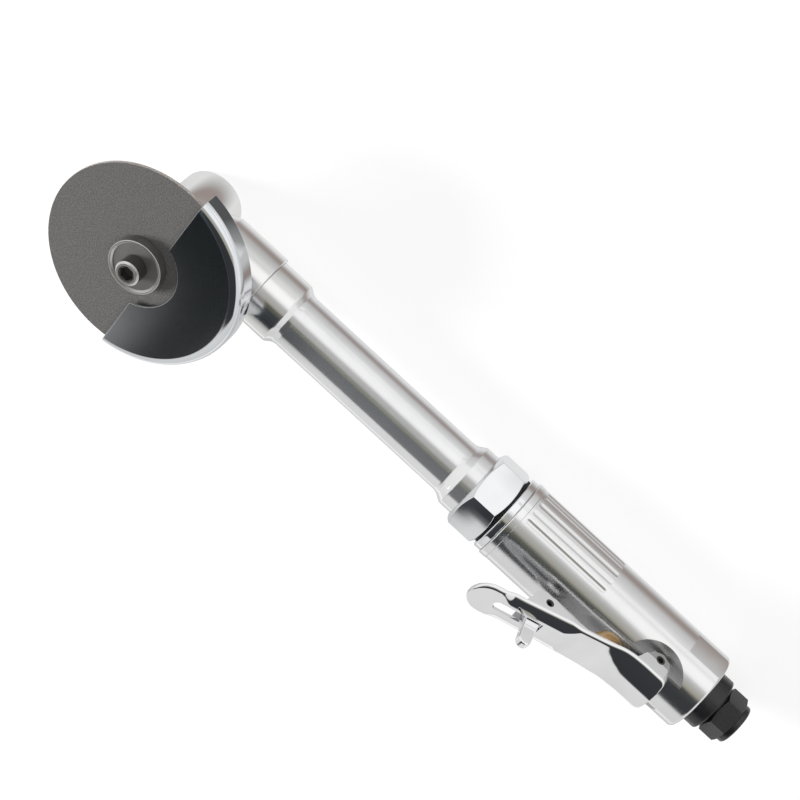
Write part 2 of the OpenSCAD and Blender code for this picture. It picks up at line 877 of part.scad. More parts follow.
module lock_ring() {
    color([0.85, 0.86, 0.87])
        turn_x()
            difference() {
                rect(motor_r, lock_ring_r, x_house_f, x_seal);
                nick([lock_ring_r, x_house_f], 0.6, [1, -1]);
                nick([lock_ring_r, x_seal], 0.6, [1, 1]);
            }
}

module nut_seal() {
    color([0.06, 0.06, 0.06])
        turn_x()
            rect(motor_r, seal_r, x_seal, x_nut);
}

module clamp_nut() {
    color([0.86, 0.87, 0.88])
        difference() {
            intersection() {
                hex_x(2 * nut_r, x_nut, x_collar, 90);
                turn_x()
                    polygon([[0, x_nut], [nut_r - 0.5, x_nut], [nut_r * 1.16, x_nut + 1.7],
                        [nut_r * 1.16, x_collar - 1.9], [nut_r - 1.1, x_collar], [0, x_collar]]);
            }
            rod_x(motor_r, x_nut - 1, x_collar + 1);
        }
}

module extension_tube() {
    tr = tube_d / 2;
    cr = collar_d / 2;
    fr = front_collar_d / 2;
    color([0.82, 0.83, 0.85])
        turn_x()
            difference() {
                union() {
                    rect(0, motor_r, x_plate_f + plate_t, x_collar + lap);
                    difference() {
                        rect(0, cr, x_collar, x_flare);
                        nick([cr, x_flare], 0.6, [1, 1]);
                    }
                    polygon([[0, x_flare - lap], [cr - 0.6, x_flare - lap], [cr - 0.8, x_flare],
                        [tr + 0.35, x_tube - 1.2], [tr, x_tube], [0, x_tube]]);
                    rect(0, tr, x_tube - lap, x_taper + lap);
                    polygon([[0, x_taper], [tr, x_taper], [tr + 0.35, x_taper + 1.2],
                        [fr - 0.3, x_front - 0.5], [fr, x_front], [0, x_front]]);
                    difference() {
                        rect(0, fr, x_front - lap, x_head);
                        nick([fr, x_head], 0.4, [1, 1]);
                    }
                    rect(0, spigot_f_r, x_head - lap, x_head + spigot_f);
                }
                rect(0, tube_bore_r, x_plate_f, x_head + spigot_f + 1);
            }
}

module shaft_coupling() {
    color([0.45, 0.46, 0.48])
        turn_x()
            difference() {
                rect(0, coupling_r, x_coupling, x_coupling + coupling_len);
                rect(0, rotor_shaft_r, x_coupling - 1, x_rotor_end);
                rect(0, shaft_r, x_coupling, x_coupling + coupling_len + 1);
            }
}

module drive_shaft() {
    color([0.55, 0.56, 0.58])
        turn_x()
            union() {
                rect(0, shaft_r, x_rotor_end + 0.2, x_pinion - 0.3);
                rect(0, tail_r, x_pinion - 0.3 - lap, x_pinion + tail_len);
            }
}

module rear_shaft_bearing() {
    color([0.62, 0.63, 0.65])
        turn_x()
            bearing(shaft_r + run, tube_bore_r, x_collar - shaft_bearing_w / 2, shaft_bearing_w);
}

module front_shaft_bearing() {
    color([0.62, 0.63, 0.65])
        turn_x()
            bearing(shaft_r + run, tube_bore_r, x_head - shaft_bearing_in, shaft_bearing_w);
}

module angle_head() {
    x_taper_n = x_spin - neck_taper;
    color([0.82, 0.83, 0.84])
        difference() {
            union() {
                turn_x()
                    difference() {
                        union() {
                            rect(0, neck_r, x_head, x_taper_n);
                            polygon([[0, x_taper_n - lap], [neck_r, x_taper_n - lap], [neck_r, x_taper_n],
                                [head_r - 1.6, x_spin - neck_end], [0, x_spin - neck_end]]);
                        }
                        nick([neck_r, x_head], 0.4, [1, -1]);
                    }
                turn_z(x_spin)
                    difference() {
                        union() {
                            rect(0, head_r, cap_proud - head_back, head_top);
                            rect(0, nose_r, head_top - lap, nose_top);
                        }
                        nick([head_r, cap_proud - head_back], 1, [1, -1]);
                        nick([head_r, head_top], 0.5, [1, 1]);
                    }
            }
            rod_x(spigot_f_r, x_head - 1, x_head + spigot_f + 0.1);
            rod_x(pinion_bore_r, x_head, x_spin);
            rod_z(chamber_head_r, x_spin, -head_back - 1, bearing_1_z - 0.5);
            rod_z(nose_bore_r, x_spin, 0, nose_top + 1);
        }
}

module pinion_bearing() {
    color([0.62, 0.63, 0.65])
        turn_x()
            bearing(pinion_shaft_r + run, pinion_bore_r, x_pinion + 2, pinion_len - 3);
}

// Straight bevel gear on Z, large end at height 0, cone towards +Z
module bevel(n, r) {
    p = 360 / n;
    outline = [for (i = [0 : n - 1]) each [
        [(r - tooth_root) * cos(i * p - p * 0.30), (r - tooth_root) * sin(i * p - p * 0.30)],
        [r * cos(i * p - p * 0.19), r * sin(i * p - p * 0.19)],
        [(r + tooth_tip) * cos(i * p - p * 0.09), (r + tooth_tip) * sin(i * p - p * 0.09)],
        [(r + tooth_tip) * cos(i * p + p * 0.09), (r + tooth_tip) * sin(i * p + p * 0.09)],
        [r * cos(i * p + p * 0.19), r * sin(i * p + p * 0.19)],
        [(r - tooth_root) * cos(i * p + p * 0.30), (r - tooth_root) * sin(i * p + p * 0.30)]]];
    linear_extrude(height = r * (1 - gear_small), scale = gear_small)
        polygon(outline);
}

module bevel_pinion() {
    color([0.48, 0.48, 0.50])
        difference() {
            union() {
                translate([x_big, 0, 0])
                    rotate([0, 90, 0])
                        bevel(gear_teeth, gear_r);
                rod_x(pinion_hub_r, x_big - pinion_hub, x_big + lap);
                rod_x(pinion_shaft_r, x_pinion, x_big);
            }
            rod_x(tail_r, x_pinion - 1, x_pinion + tail_len);
        }
}

module bevel_gear() {
    color([0.48, 0.48, 0.50])
        difference() {
            union() {
                translate([x_spin, 0, -gear_r])
                    rotate([0, 0, 180 + 180 / gear_teeth])
                        bevel(gear_teeth, gear_r);
                rod_z(pinion_hub_r, x_spin, gear_hub_z, lap - gear_r);
            }
            rod_z(gear_seat_r, x_spin, gear_hub_z - 1, 1);
        }
}

module spindle() {
    color([0.56, 0.57, 0.59])
        turn_z(x_spin)
            difference() {
                union() {
                    rect(0, low_shaft_r, cap_top - low_bearing_w + 0.2, gear_hub_z);
                    rect(0, gear_seat_r, gear_hub_z - 0.2, 9.1);
                    rect(0, spindle_r, 9, inner_flange_z);
                    rect(0, wheel_bore_r, inner_flange_z - lap, stub_top);
                }
                rect(0, screw_r, screw_end - 1.5, stub_top + 1);
            }
}

module lower_spindle_bearing() {
    color([0.62, 0.63, 0.65])
        turn_z(x_spin)
            bearing(low_shaft_r + run, low_bearing_r, cap_top - low_bearing_w, low_bearing_w);
}

module upper_spindle_bearing() {
    color([0.62, 0.63, 0.65])
        turn_z(x_spin)
            bearing(spindle_r + run, nose_bore_r, bearing_1_z, bearing_w);
}

module outer_spindle_bearing() {
    color([0.62, 0.63, 0.65])
        turn_z(x_spin)
            bearing(spindle_r + run, nose_bore_r, bearing_2_z, bearing_w);
}

module bearing_retainer() {
    color([0.50, 0.51, 0.53])
        difference() {
            turn_z(x_spin)
                rect(spindle_r + retainer_clear, nose_bore_r, retainer_z, retainer_top);
            for (s = [-1, 1])
                translate([x_spin, s * (spindle_r + nose_bore_r) / 2, retainer_top - retainer_hole_deep])
                    cylinder(r = retainer_hole_r, h = far, $fn = 32);
        }
}

module head_cap() {
    color([0.70, 0.71, 0.72])
        difference() {
            turn_z(x_spin)
                difference() {
                    rect(0, chamber_head_r, -head_back, cap_top);
                    rect(0, low_bearing_r, cap_top - low_bearing_w, cap_top + 1);
                }
            for (s = [-1, 1])
                translate([x_spin, s * chamber_head_r * 0.6, -head_back - 1])
                    cylinder(r = cap_hole_r, h = 1 + cap_hole_deep, $fn = 32);
        }
}

module guard_collar() {
    ear_x = x_spin + nose_r + 0.8;
    ear_z = guard_collar_z + 0.5;
    color([0.80, 0.81, 0.82])
        difference() {
            union() {
                turn_z(x_spin)
                    rect(nose_r + guard_run, collar_r, guard_collar_z, guard_back_z);
                translate([ear_x, -clamp_ear, ear_z])
                    cube([clamp_ear_x - ear_x, 2 * clamp_ear, guard_back_z - ear_z - 0.1]);
            }
            translate([x_spin + 2, -clamp_slit, guard_collar_z - 1])
                cube([far, 2 * clamp_slit, far]);
            rod_y(clamp_screw_r, clamp_x, clamp_z, -far, far);
        }
}

module wheel_guard() {
    color([0.74, 0.75, 0.77])
        intersection() {
            turn_z(x_spin)
                difference() {
                    rect(nose_r + guard_run, guard_r, guard_back_z, guard_front_z);
                    nick([guard_r, guard_front_z], guard_bend, [1, 1]);
                    difference() {
                        rect(0, guard_r - guard_t, guard_back_z + guard_t, guard_front_z - guard_t);
                        nick([guard_r - guard_t, guard_front_z - guard_t], guard_bend - guard_t, [1, 1]);
                    }
                    rect(0, guard_cut_r, guard_back_z + guard_t, guard_front_z + 1);
                }
            union() {
                translate([x_spin - far, -far, guard_back_z - 1])
                    cube([far - guard_edge, 2 * far, far]);
                rod_z(collar_r, x_spin, guard_back_z - 1, guard_back_z + guard_t);
            }
        }
}

module guard_clamp_screw() {
    color([0.12, 0.12, 0.13])
        difference() {
            union() {
                rod_y(clamp_screw_r, clamp_x, clamp_z, -clamp_ear - lap, clamp_ear + clamp_nut_h + 0.4);
                rod_y(clamp_head_r, clamp_x, clamp_z, -clamp_ear - clamp_head_h, -clamp_ear);
            }
            translate([clamp_x, -clamp_ear - clamp_head_h - 1, clamp_z])
                rotate([-90, 0, 0])
                    cylinder(r = clamp_socket_af / sqrt(3), h = 1 + clamp_socket_deep, $fn = 6);
        }
}

module guard_clamp_nut() {
    color([0.12, 0.12, 0.13])
        difference() {
            translate([clamp_x, clamp_ear, clamp_z])
                rotate([-90, 0, 0])
                    cylinder(r = clamp_nut_af / sqrt(3), h = clamp_nut_h, $fn = 6);
            rod_y(clamp_screw_r, clamp_x, clamp_z, -far, far);
        }
}

module inner_flange() {
    spanner_y = wheel_flange_r - spanner_cut;
    color([0.30, 0.30, 0.31])
        difference() {
            turn_z(x_spin)
                rect(wheel_bore_r, wheel_flange_r, inner_flange_z, wheel_z);
            for (s = [-1, 1])
                translate([x_spin - far / 2, s > 0 ? spanner_y : -spanner_y - far, inner_flange_z - 1])
                    cube([far, far, 1 + spanner_h]);
        }
}

module cut_off_wheel() {
    color([0.30, 0.29, 0.27])
        turn_z(x_spin)
            rect(wheel_bore_r, wheel_d / 2, wheel_z, wheel_front);
}

module outer_flange() {
    h = wheel_front + outer_flange_t;
    color([0.33, 0.33, 0.34])
        turn_z(x_spin)
            difference() {
                rect(screw_r, wheel_flange_r, wheel_front, h);
                rect(0, wheel_flange_r - 0.8, h - dish, h + 1);
                nick([wheel_flange_r, h], 0.3, [1, 1]);
            }
}

module wheel_screw() {
    z0 = wheel_front + outer_flange_t - dish;
    color([0.28, 0.28, 0.29])
        difference() {
            turn_z(x_spin)
                difference() {
                    union() {
                        rect(0, screw_head_r, z0, z0 + screw_head_h);
                        rect(0, screw_r, screw_end, z0 + lap);
                    }
                    nick([screw_head_r, z0 + screw_head_h], 0.6, [1, 1]);
                }
            translate([x_spin, 0, z0 + screw_head_h - socket_deep])
                cylinder(r = screw_socket_af / sqrt(3), h = far, $fn = 6);
        }
}

motor_housing();
inlet_bushing();
inlet_screen();
exhaust_sleeve();
exhaust_muffler();
valve_bushing();
valve_stem();
valve_seal();
valve_spring();
throttle_lever();
lever_pin();
lock_tab();
lock_pin();
lock_spring();
rear_end_plate();
motor_cylinder();
front_end_plate();
rear_rotor_bearing();
front_rotor_bearing();
rotor();
vane_1();
vane_2();
vane_3();
vane_4();
lock_ring();
nut_seal();
clamp_nut();
extension_tube();
shaft_coupling();
drive_shaft();
rear_shaft_bearing();
front_shaft_bearing();
angle_head();
pinion_bearing();
bevel_pinion();
bevel_gear();
spindle();
lower_spindle_bearing();
upper_spindle_bearing();
outer_spindle_bearing();
bearing_retainer();
head_cap();
guard_collar();
wheel_guard();
guard_clamp_screw();
guard_clamp_nut();
inner_flange();
cut_off_wheel();
outer_flange();
wheel_screw();
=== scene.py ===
"""Looks of a pneumatic cut off tool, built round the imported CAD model."""

import json
import math

import bmesh
import bpy
from mathutils import Matrix, Vector


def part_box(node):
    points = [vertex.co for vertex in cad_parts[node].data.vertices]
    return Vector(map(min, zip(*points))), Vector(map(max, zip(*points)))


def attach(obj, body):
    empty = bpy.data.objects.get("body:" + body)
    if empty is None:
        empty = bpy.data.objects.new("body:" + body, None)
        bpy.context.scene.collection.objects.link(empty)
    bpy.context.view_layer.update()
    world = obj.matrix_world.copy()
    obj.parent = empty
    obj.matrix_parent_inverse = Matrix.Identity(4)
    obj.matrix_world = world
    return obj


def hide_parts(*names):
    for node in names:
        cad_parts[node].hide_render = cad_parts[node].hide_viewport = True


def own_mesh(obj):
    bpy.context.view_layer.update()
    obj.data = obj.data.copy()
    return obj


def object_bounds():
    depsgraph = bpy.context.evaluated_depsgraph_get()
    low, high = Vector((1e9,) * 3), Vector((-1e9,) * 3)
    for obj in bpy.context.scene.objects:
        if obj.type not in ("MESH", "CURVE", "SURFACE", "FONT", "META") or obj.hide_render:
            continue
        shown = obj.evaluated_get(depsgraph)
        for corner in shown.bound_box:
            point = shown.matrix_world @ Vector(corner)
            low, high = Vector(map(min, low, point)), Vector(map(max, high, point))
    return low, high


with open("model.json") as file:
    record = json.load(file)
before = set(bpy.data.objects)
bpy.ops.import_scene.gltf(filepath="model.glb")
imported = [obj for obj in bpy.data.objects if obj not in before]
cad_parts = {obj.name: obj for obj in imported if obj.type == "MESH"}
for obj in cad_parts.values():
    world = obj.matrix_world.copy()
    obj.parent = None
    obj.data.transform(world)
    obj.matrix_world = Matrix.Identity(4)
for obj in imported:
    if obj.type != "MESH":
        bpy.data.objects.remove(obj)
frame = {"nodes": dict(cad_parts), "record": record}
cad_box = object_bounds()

MM = 0.001
ALONG_X = Matrix(((0, 0, 1, 0), (1, 0, 0, 0), (0, 1, 0, 0), (0, 0, 0, 1)))


# Sizes, in millimetres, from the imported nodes

def span(node):
    """Lowest and highest corner of a CAD node at rest."""
    low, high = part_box(node)
    return Vector(low) / MM, Vector(high) / MM


def round_x(node):
    """Start, end and radius of a node turned about the tool's axis."""
    low, high = span(node)
    return low.x, high.x, (high.y - low.y) / 2


def round_z(node):
    """Bottom, top and radius of a node turned about an upright axis."""
    low, high = span(node)
    return low.z, high.z, (high.y - low.y) / 2


def middle(node):
    """X and Z of a node's middle."""
    low, high = span(node)
    return (low.x + high.x) / 2, (low.z + high.z) / 2


X_SPIN, _ = middle("cut_off_wheel")
AT_SPINDLE = Matrix.Translation((X_SPIN, 0, 0))
X_PIVOT, Z_PIVOT = middle("lever_pin")
X_LOCK, Z_LOCK = middle("lock_pin")
X_VALVE, _ = middle("valve_bushing")


# Meshes

SEGMENTS = 192         # round a turned piece
GUARD_SEGMENTS = 160   # round the guard
HEX_LINES = 48         # mesh lines on a side of a hexagon
HEX_STEP = 0.12        # between the mesh lines across them
HEX_EDGE = 0.3         # rounding of a hexagon's edges
WELD = 1e-4            # distance at which points become one
PAST = 40              # reach of the cutters
TOUCH = 0.05           # margin round the faces of a cut
TURNED = 40            # angle of the sharp edges of turned and pressed pieces, in degrees


def rounded(corners, steps=6, closed=True):
    """Outline through (a, b, radius) corners, where a radius above 0 turns the corner into an arc."""
    outline = []
    for i, (a, b, radius) in enumerate(corners):
        corner = Vector((a, b))
        if radius == 0 or not closed and i in (0, len(corners) - 1):
            outline.append(corner)
            continue
        to_last = (Vector(corners[i - 1][:2]) - corner).normalized()
        to_next = (Vector(corners[(i + 1) % len(corners)][:2]) - corner).normalized()
        half = to_last.angle(to_next) / 2
        reach = radius / math.tan(half)
        centre = corner + (to_last + to_next).normalized() * (radius / math.sin(half))
        start = corner + to_last * reach - centre
        end = corner + to_next * reach - centre
        sweep = math.copysign(math.pi - 2 * half, start.x * end.y - start.y * end.x)
        for k in range(steps + 1):
            outline.append(centre + Matrix.Rotation(sweep * k / steps, 2) @ start)
    return outline


def even(count):
    """Angles of evenly spaced places round a circle."""
    return [2 * math.pi * k / count for k in range(count)]


def arc(centre, radius, start, sweep, steps):
    """Points on an arc, with both of its ends."""
    angles = [start + sweep * k / steps for k in range(steps + 1)]
    return [centre + radius * Vector((math.cos(angle), math.sin(angle))) for angle in angles]


def make_object(name, bm, place=Matrix()):
    """Object from a mesh in millimetres, put in the part's frame in metres."""
    bmesh.ops.remove_doubles(bm, verts=bm.verts, dist=WELD)
    bmesh.ops.transform(bm, matrix=Matrix.Scale(MM, 4) @ place, verts=bm.verts)
    bmesh.ops.recalc_face_normals(bm, faces=bm.faces)
    mesh = bpy.data.meshes.new(name)
    bm.to_mesh(mesh)
    bm.free()
    obj = bpy.data.objects.new(name, mesh)
    bpy.context.collection.objects.link(obj)
    return obj


def circle(bm, radius, height, angles):
    """Vertices at some angles on a circle about the Z axis."""
    return [bm.verts.new((radius * math.cos(angle), radius * math.sin(angle), height)) for angle in angles]


def strip(bm, rings):
    """Faces between each closed ring of vertices and the next."""
    for ring, above in zip(rings, rings[1:]):
        for k in range(len(ring)):
            n = (k + 1) % len(ring)
            bm.faces.new((ring[k], ring[n], above[n], above[k]))


def capped(bm, rings):
    """Faces between rings, and one over either end."""
    strip(bm, rings)
    bm.faces.new(reversed(rings[0]))
    bm.faces.new(rings[-1])


def turned(name, outline, place, segments=SEGMENTS):
    """Closed outline of (radius, height) points turned about the Z axis of place."""
    bm = bmesh.new()
    rings = [circle(bm, radius, height, even(segments)) for radius, height in outline]
    strip(bm, rings + rings[:1])
    return make_object(name, bm, place)


def part_turned(name, outline, edge, place):
    """Closed outline turned about the Z axis of place as far as the plane where x equals edge."""
    bm = bmesh.new()
    rings = []
    for radius, height in outline:
        start = math.acos(edge / radius)
        sweep = 2 * (math.pi - start)
        angles = [start + sweep * k / GUARD_SEGMENTS for k in range(GUARD_SEGMENTS + 1)]
        rings.append(circle(bm, radius, height, angles))
    for ring, above in zip(rings, rings[1:] + rings[:1]):
        for k in range(GUARD_SEGMENTS):
            bm.faces.new((ring[k], ring[k + 1], above[k + 1], above[k]))
    bm.faces.new([ring[0] for ring in rings])
    bm.faces.new([ring[-1] for ring in reversed(rings)])
    return make_object(name, bm, place)


def soft_min(a, b, blend):
    """Smaller of two values, with a rounded change from one to the other."""
    near = max(blend - abs(a - b), 0) / blend
    return min(a, b) - near * near * blend / 4


def divided(outline, step):
    """Open outline with more points, no further apart than a step."""
    points = [outline[0]]
    for end in outline[1:]:
        start = points[-1]
        count = max(1, math.ceil((end - start).length / step))
        points += [start.lerp(end, k / count) for k in range(1, count + 1)]
    return points


def hexagon(name, across, blank, bore, place, turn, crown=0.0):
    """Turned blank with six flats milled on it and a plain bore; the edges are eased."""
    bm = bmesh.new()
    side = math.pi / 3
    angles = [side * k + side / 2 * math.sin(math.pi / 2 * (2 * i / HEX_LINES - 1))
              for k in range(6) for i in range(HEX_LINES)]
    rings = []
    outline = [Vector((bore, blank[0].y))] + divided(blank, HEX_STEP) + [Vector((bore, blank[-1].y))]
    for radius, height in outline:
        ring = []
        for angle in angles:
            from_flat = (angle + side / 2) % side - side / 2
            fall = crown * (math.tan(from_flat) / math.tan(side / 2)) ** 2
            flat = across / 2 / math.cos(from_flat) - fall
            here = radius if radius <= bore else soft_min(radius, flat, HEX_EDGE)
            spot = angle + turn
            ring.append(bm.verts.new((here * math.cos(spot), here * math.sin(spot), height)))
        rings.append(ring)
    strip(bm, rings + rings[:1])
    return make_object(name, bm, place)


# Cutters and the last work on a mesh

def prism(name, sides, across, low, high, place):
    """Regular prism with a given width across its flats along the Z axis of place."""
    radius = across / 2 / math.cos(math.pi / sides)
    bm = bmesh.new()
    capped(bm, [circle(bm, radius, height, even(sides)) for height in (low, high)])
    return make_object(name, bm, place)


def block(name, low, high):
    """Plain box between two corners."""
    low, high = Vector(low), Vector(high)
    bm = bmesh.new()
    place = Matrix.Translation((low + high) / 2) @ Matrix.Diagonal((*(high - low), 1))
    bmesh.ops.create_cube(bm, size=1, matrix=place)
    return make_object(name, bm)


def rod(name, radius, start, end, segments=64):
    """Plain rod between two points."""
    start, end = Vector(start), Vector(end)
    place = Matrix.Translation(start) @ (end - start).to_track_quat("Z", "Y").to_matrix().to_4x4()
    length = (end - start).length
    return turned(name, [(0, 0), (radius, 0), (radius, length), (0, length)], place, segments)


def pin_hole(radius, x, z):
    """Rod across the whole tool."""
    return rod("pin_hole", radius, (x, -PAST, z), (x, PAST, z))


def apply_modifiers(obj):
    """Put the object's modifiers into its mesh."""
    graph = bpy.context.evaluated_depsgraph_get()
    mesh = bpy.data.meshes.new_from_object(obj.evaluated_get(graph))
    obj.modifiers.clear()
    obj.data = mesh


def cut(obj, *tools):
    """Take each of the cutters out of an object; the cutters are used up."""
    for tool in tools:
        step = obj.modifiers.new("cut", "BOOLEAN")
        step.operation = "DIFFERENCE"
        step.object = tool
        step.solver = "EXACT"
        apply_modifiers(obj)
        bpy.data.objects.remove(tool)


def ease(obj, width, segments, angle):
    """Real rounding on the edges that are sharper than an angle."""
    bevel = obj.modifiers.new("ease", "BEVEL")
    bevel.width = width * MM
    bevel.segments = segments
    bevel.limit_method = "ANGLE"
    bevel.angle_limit = math.radians(angle)
    bevel.use_clamp_overlap = True
    apply_modifiers(obj)


def shade(obj, angle=32):
    """Smooth shading that stays crisp on edges sharper than an angle."""
    obj.data.shade_smooth()
    obj.data.set_sharp_from_angle(angle=math.radians(angle))
    weights = obj.modifiers.new("normals", "WEIGHTED_NORMAL")
    weights.keep_sharp = True


def second_finish(obj, material, rule):
    """Second material on the faces whose middle, in millimetres, and normal pass a rule."""
    obj.data.materials.append(material)
    for face in obj.data.polygons:
        if rule(face.center / MM, face.normal):
            face.material_index = 1


def fit(obj, material, body, slot, *nodes):
    """Finish a piece: its material, the body that it rides on and the nodes that it stands for."""
    obj.data.materials.clear()
    obj.data.materials.append(material)
    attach(obj, body)
    if nodes:
        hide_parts(*nodes)


# Shader nodes

def node(tree, kind, **values):
    """New shader node, with its properties and the values of its inputs."""
    made = tree.nodes.new(kind)
    for key, value in values.items():
        if key in made.inputs:
            made.inputs[key].default_value = value
        else:
            setattr(made, key, value)
    return made


def ramp(tree, source, *stops):
    """Colour ramp over (position, grey) or (position, colour) stops."""
    made = tree.nodes.new("ShaderNodeValToRGB")
    elements = made.color_ramp.elements
    while len(elements) < len(stops):
        elements.new(0.5)
    for element, (position, colour) in zip(elements, stops):
        element.position = position
        element.color = (*colour, 1) if isinstance(colour, tuple) else (colour, colour, colour, 1)
    tree.links.new(source, made.inputs["Fac"])
    return made.outputs["Color"]


def blend(tree, factor, first, second):
    """Mix of two colours."""
    mix = node(tree, "ShaderNodeMix", data_type="RGBA")
    tree.links.new(factor, mix.inputs["Factor"])
    tree.links.new(first, mix.inputs["A"])
    tree.links.new(second, mix.inputs["B"])
    return mix.outputs["Result"]


def choose(tree, factor, first, second):
    """Mix of two shaders."""
    mix = tree.nodes.new("ShaderNodeMixShader")
    tree.links.new(factor, mix.inputs["Fac"])
    tree.links.new(first, mix.inputs[1])
    tree.links.new(second, mix.inputs[2])
    return mix.outputs["Shader"]


def either(tree, *rays):
    """Factor that is 1 for any of the named kinds of ray."""
    path = tree.nodes.new("ShaderNodeLightPath")
    total = path.outputs[rays[0]]
    for ray in rays[1:]:
        larger = node(tree, "ShaderNodeMath", operation="MAXIMUM")
        tree.links.new(total, larger.inputs[0])
        tree.links.new(path.outputs[ray], larger.inputs[1])
        total = larger.outputs["Value"]
    return total


def scaled(tree, source, low, high):
    """A value from low to high brought to a range of 0 to 1."""
    made = tree.nodes.new("ShaderNodeMapRange")
    made.inputs["From Min"].default_value = low
    made.inputs["From Max"].default_value = high
    tree.links.new(source, made.inputs["Value"])
    return made.outputs["Result"]


def axes(tree, vector):
    """X, Y and Z of a vector."""
    split = tree.nodes.new("ShaderNodeSeparateXYZ")
    tree.links.new(vector, split.inputs["Vector"])
    return split.outputs


def coordinates(tree, kind):
    """Texture coordinates of a kind."""
    return tree.nodes.new("ShaderNodeTexCoord").outputs[kind]


def emission(tree, colour):
    """Glow of a colour at a strength of 1."""
    glow = node(tree, "ShaderNodeEmission", Strength=1)
    tree.links.new(colour, glow.inputs["Color"])
    return glow.outputs["Emission"]


# Materials

EVEN = (1, 1, 1)
SMUDGE = 60
LINE_HEIGHT = 0.0002
GRIT = 2300
GRIT_HEIGHT = 0.0003


def surface(name, metallic=0.0):
    """Material with its tree and its main shader."""
    material = bpy.data.materials.new(name)
    material.use_nodes = True
    tree = material.node_tree
    shader = tree.nodes["Principled BSDF"]
    shader.inputs["Metallic"].default_value = metallic
    return material, tree, shader


def bare_surface(name):
    """Material without a shader, and its tree."""
    material, tree, shader = surface(name)
    tree.nodes.remove(shader)
    return material, tree


def stretched_noise(tree, scale, stretch, detail=3):
    """Noise in the part's own frame, stretched along its axes."""
    mapping = node(tree, "ShaderNodeMapping", Scale=stretch)
    noise = node(tree, "ShaderNodeTexNoise", Scale=scale, Detail=detail)
    tree.links.new(coordinates(tree, "Object"), mapping.inputs["Vector"])
    tree.links.new(mapping.outputs["Vector"], noise.inputs["Vector"])
    return noise.outputs["Fac"]


def finish(name, dark, light, rough, stretch=EVEN, grain=900, lines=0.004, metallic=1.0, bevel=0.0):
    """Worked surface: smudged colour between two tones, varied gloss, fine tool lines and eased edges."""
    material, tree, shader = surface(name, metallic)
    patches = stretched_noise(tree, SMUDGE, EVEN)
    colour = ramp(tree, patches, (0.35, dark), (0.65, light))
    tree.links.new(colour, shader.inputs["Base Color"])
    scratches = stretched_noise(tree, grain, stretch)
    gloss = ramp(tree, scratches, (0.3, rough[0]), (0.7, rough[1]))
    tree.links.new(gloss, shader.inputs["Roughness"])
    bump = node(tree, "ShaderNodeBump", Strength=lines, Distance=LINE_HEIGHT)
    tree.links.new(scratches, bump.inputs["Height"])
    if bevel:
        edge = node(tree, "ShaderNodeBevel", samples=6, Radius=bevel * MM)
        tree.links.new(edge.outputs["Normal"], bump.inputs["Normal"])
    tree.links.new(bump.outputs["Normal"], shader.inputs["Normal"])
    return material


def abrasive(name):
    """Pressed abrasive with a fine pale grit and a paler, abraded rim."""
    material, tree, shader = surface(name)
    grit = stretched_noise(tree, GRIT, EVEN, detail=5)
    face = ramp(tree, grit, (0.36, (0.104, 0.100, 0.096)), (0.50, (0.140, 0.135, 0.130)),
                (0.66, (0.196, 0.188, 0.181)))
    rim = ramp(tree, grit, (0.3, (0.52, 0.47, 0.44)), (0.7, (0.72, 0.67, 0.63)))
    normal = tree.nodes.new("ShaderNodeNewGeometry").outputs["True Normal"]
    flat = node(tree, "ShaderNodeMath", operation="ABSOLUTE")
    tree.links.new(axes(tree, normal)["Z"], flat.inputs[0])
    colour = blend(tree, flat.outputs["Value"], rim, face)
    tree.links.new(colour, shader.inputs["Base Color"])
    shader.inputs["Roughness"].default_value = 0.85
    shader.inputs["Specular IOR Level"].default_value = 0.25
    bump = node(tree, "ShaderNodeBump", Strength=0.5, Distance=GRIT_HEIGHT)
    tree.links.new(grit, bump.inputs["Height"])
    tree.links.new(bump.outputs["Normal"], shader.inputs["Normal"])
    return material


# Finishes

RINGS_X = (6, 0.4, 0.4)
RINGS_Z = (0.4, 0.4, 6)
ALUMINIUM = finish("polished_aluminium", 0.84, 0.88, (0.18, 0.22), RINGS_X, lines=0.0003)
TUBE_ALUMINIUM = finish("tube_aluminium", (0.86, 0.86, 0.87), (0.90, 0.90, 0.91), (0.14, 0.17), RINGS_X,
                        lines=0.0002, metallic=0.85)
HEAD_ALUMINIUM = finish("head_aluminium", (0.86, 0.855, 0.85), (0.90, 0.895, 0.89), (0.13, 0.18), RINGS_Z,
                        bevel=0.35)
MILLED = finish("milled_aluminium", 0.50, 0.58, (0.38, 0.48), lines=0.01)
CHROME = finish("chrome", (0.82, 0.83, 0.84), (0.87, 0.88, 0.89), (0.02, 0.04), lines=0.001, bevel=0.2)
GUARD_CHROME = finish("guard_chrome", (0.74, 0.76, 0.78), (0.80, 0.82, 0.84), (0.075, 0.085), lines=0.0001)
LEVER_CHROME = finish("lever_chrome", (0.86, 0.86, 0.87), (0.91, 0.91, 0.92), (0.03, 0.06), lines=0.001)
# Darker, rougher copy of the lever's chrome for its inner face: the darker tone is painted shade under the
# lever
SHADED_LEVER_CHROME = finish("painted_shade_chrome", (0.46, 0.46, 0.47), (0.52, 0.52, 0.53), (0.40, 0.50), lines=0.002)
STEEL = finish("steel", 0.50, 0.58, (0.18, 0.30), lines=0.01, bevel=0.15)
DARK_STEEL = finish("dark_steel", (0.20, 0.19, 0.185), (0.27, 0.26, 0.25), (0.34, 0.46), lines=0.02,
                    metallic=0.55, bevel=0.2)
# Pale steel for the top of the flange's rim and the screw's chamfer: a painted highlight
HIGHLIGHT_STEEL = finish("painted_highlight_steel", (0.72, 0.71, 0.69), (0.78, 0.77, 0.75), (0.30, 0.34), lines=0.002)
SCREW_BLACK = finish("screw_black", (0.075, 0.072, 0.070), (0.13, 0.125, 0.12), (0.30, 0.42), lines=0.02,
                     metallic=0.5)
BLACK_OXIDE = finish("black_oxide", (0.016, 0.016, 0.018), (0.030, 0.030, 0.033), (0.22, 0.34), lines=0.03,
                     metallic=0.0, bevel=0.25)
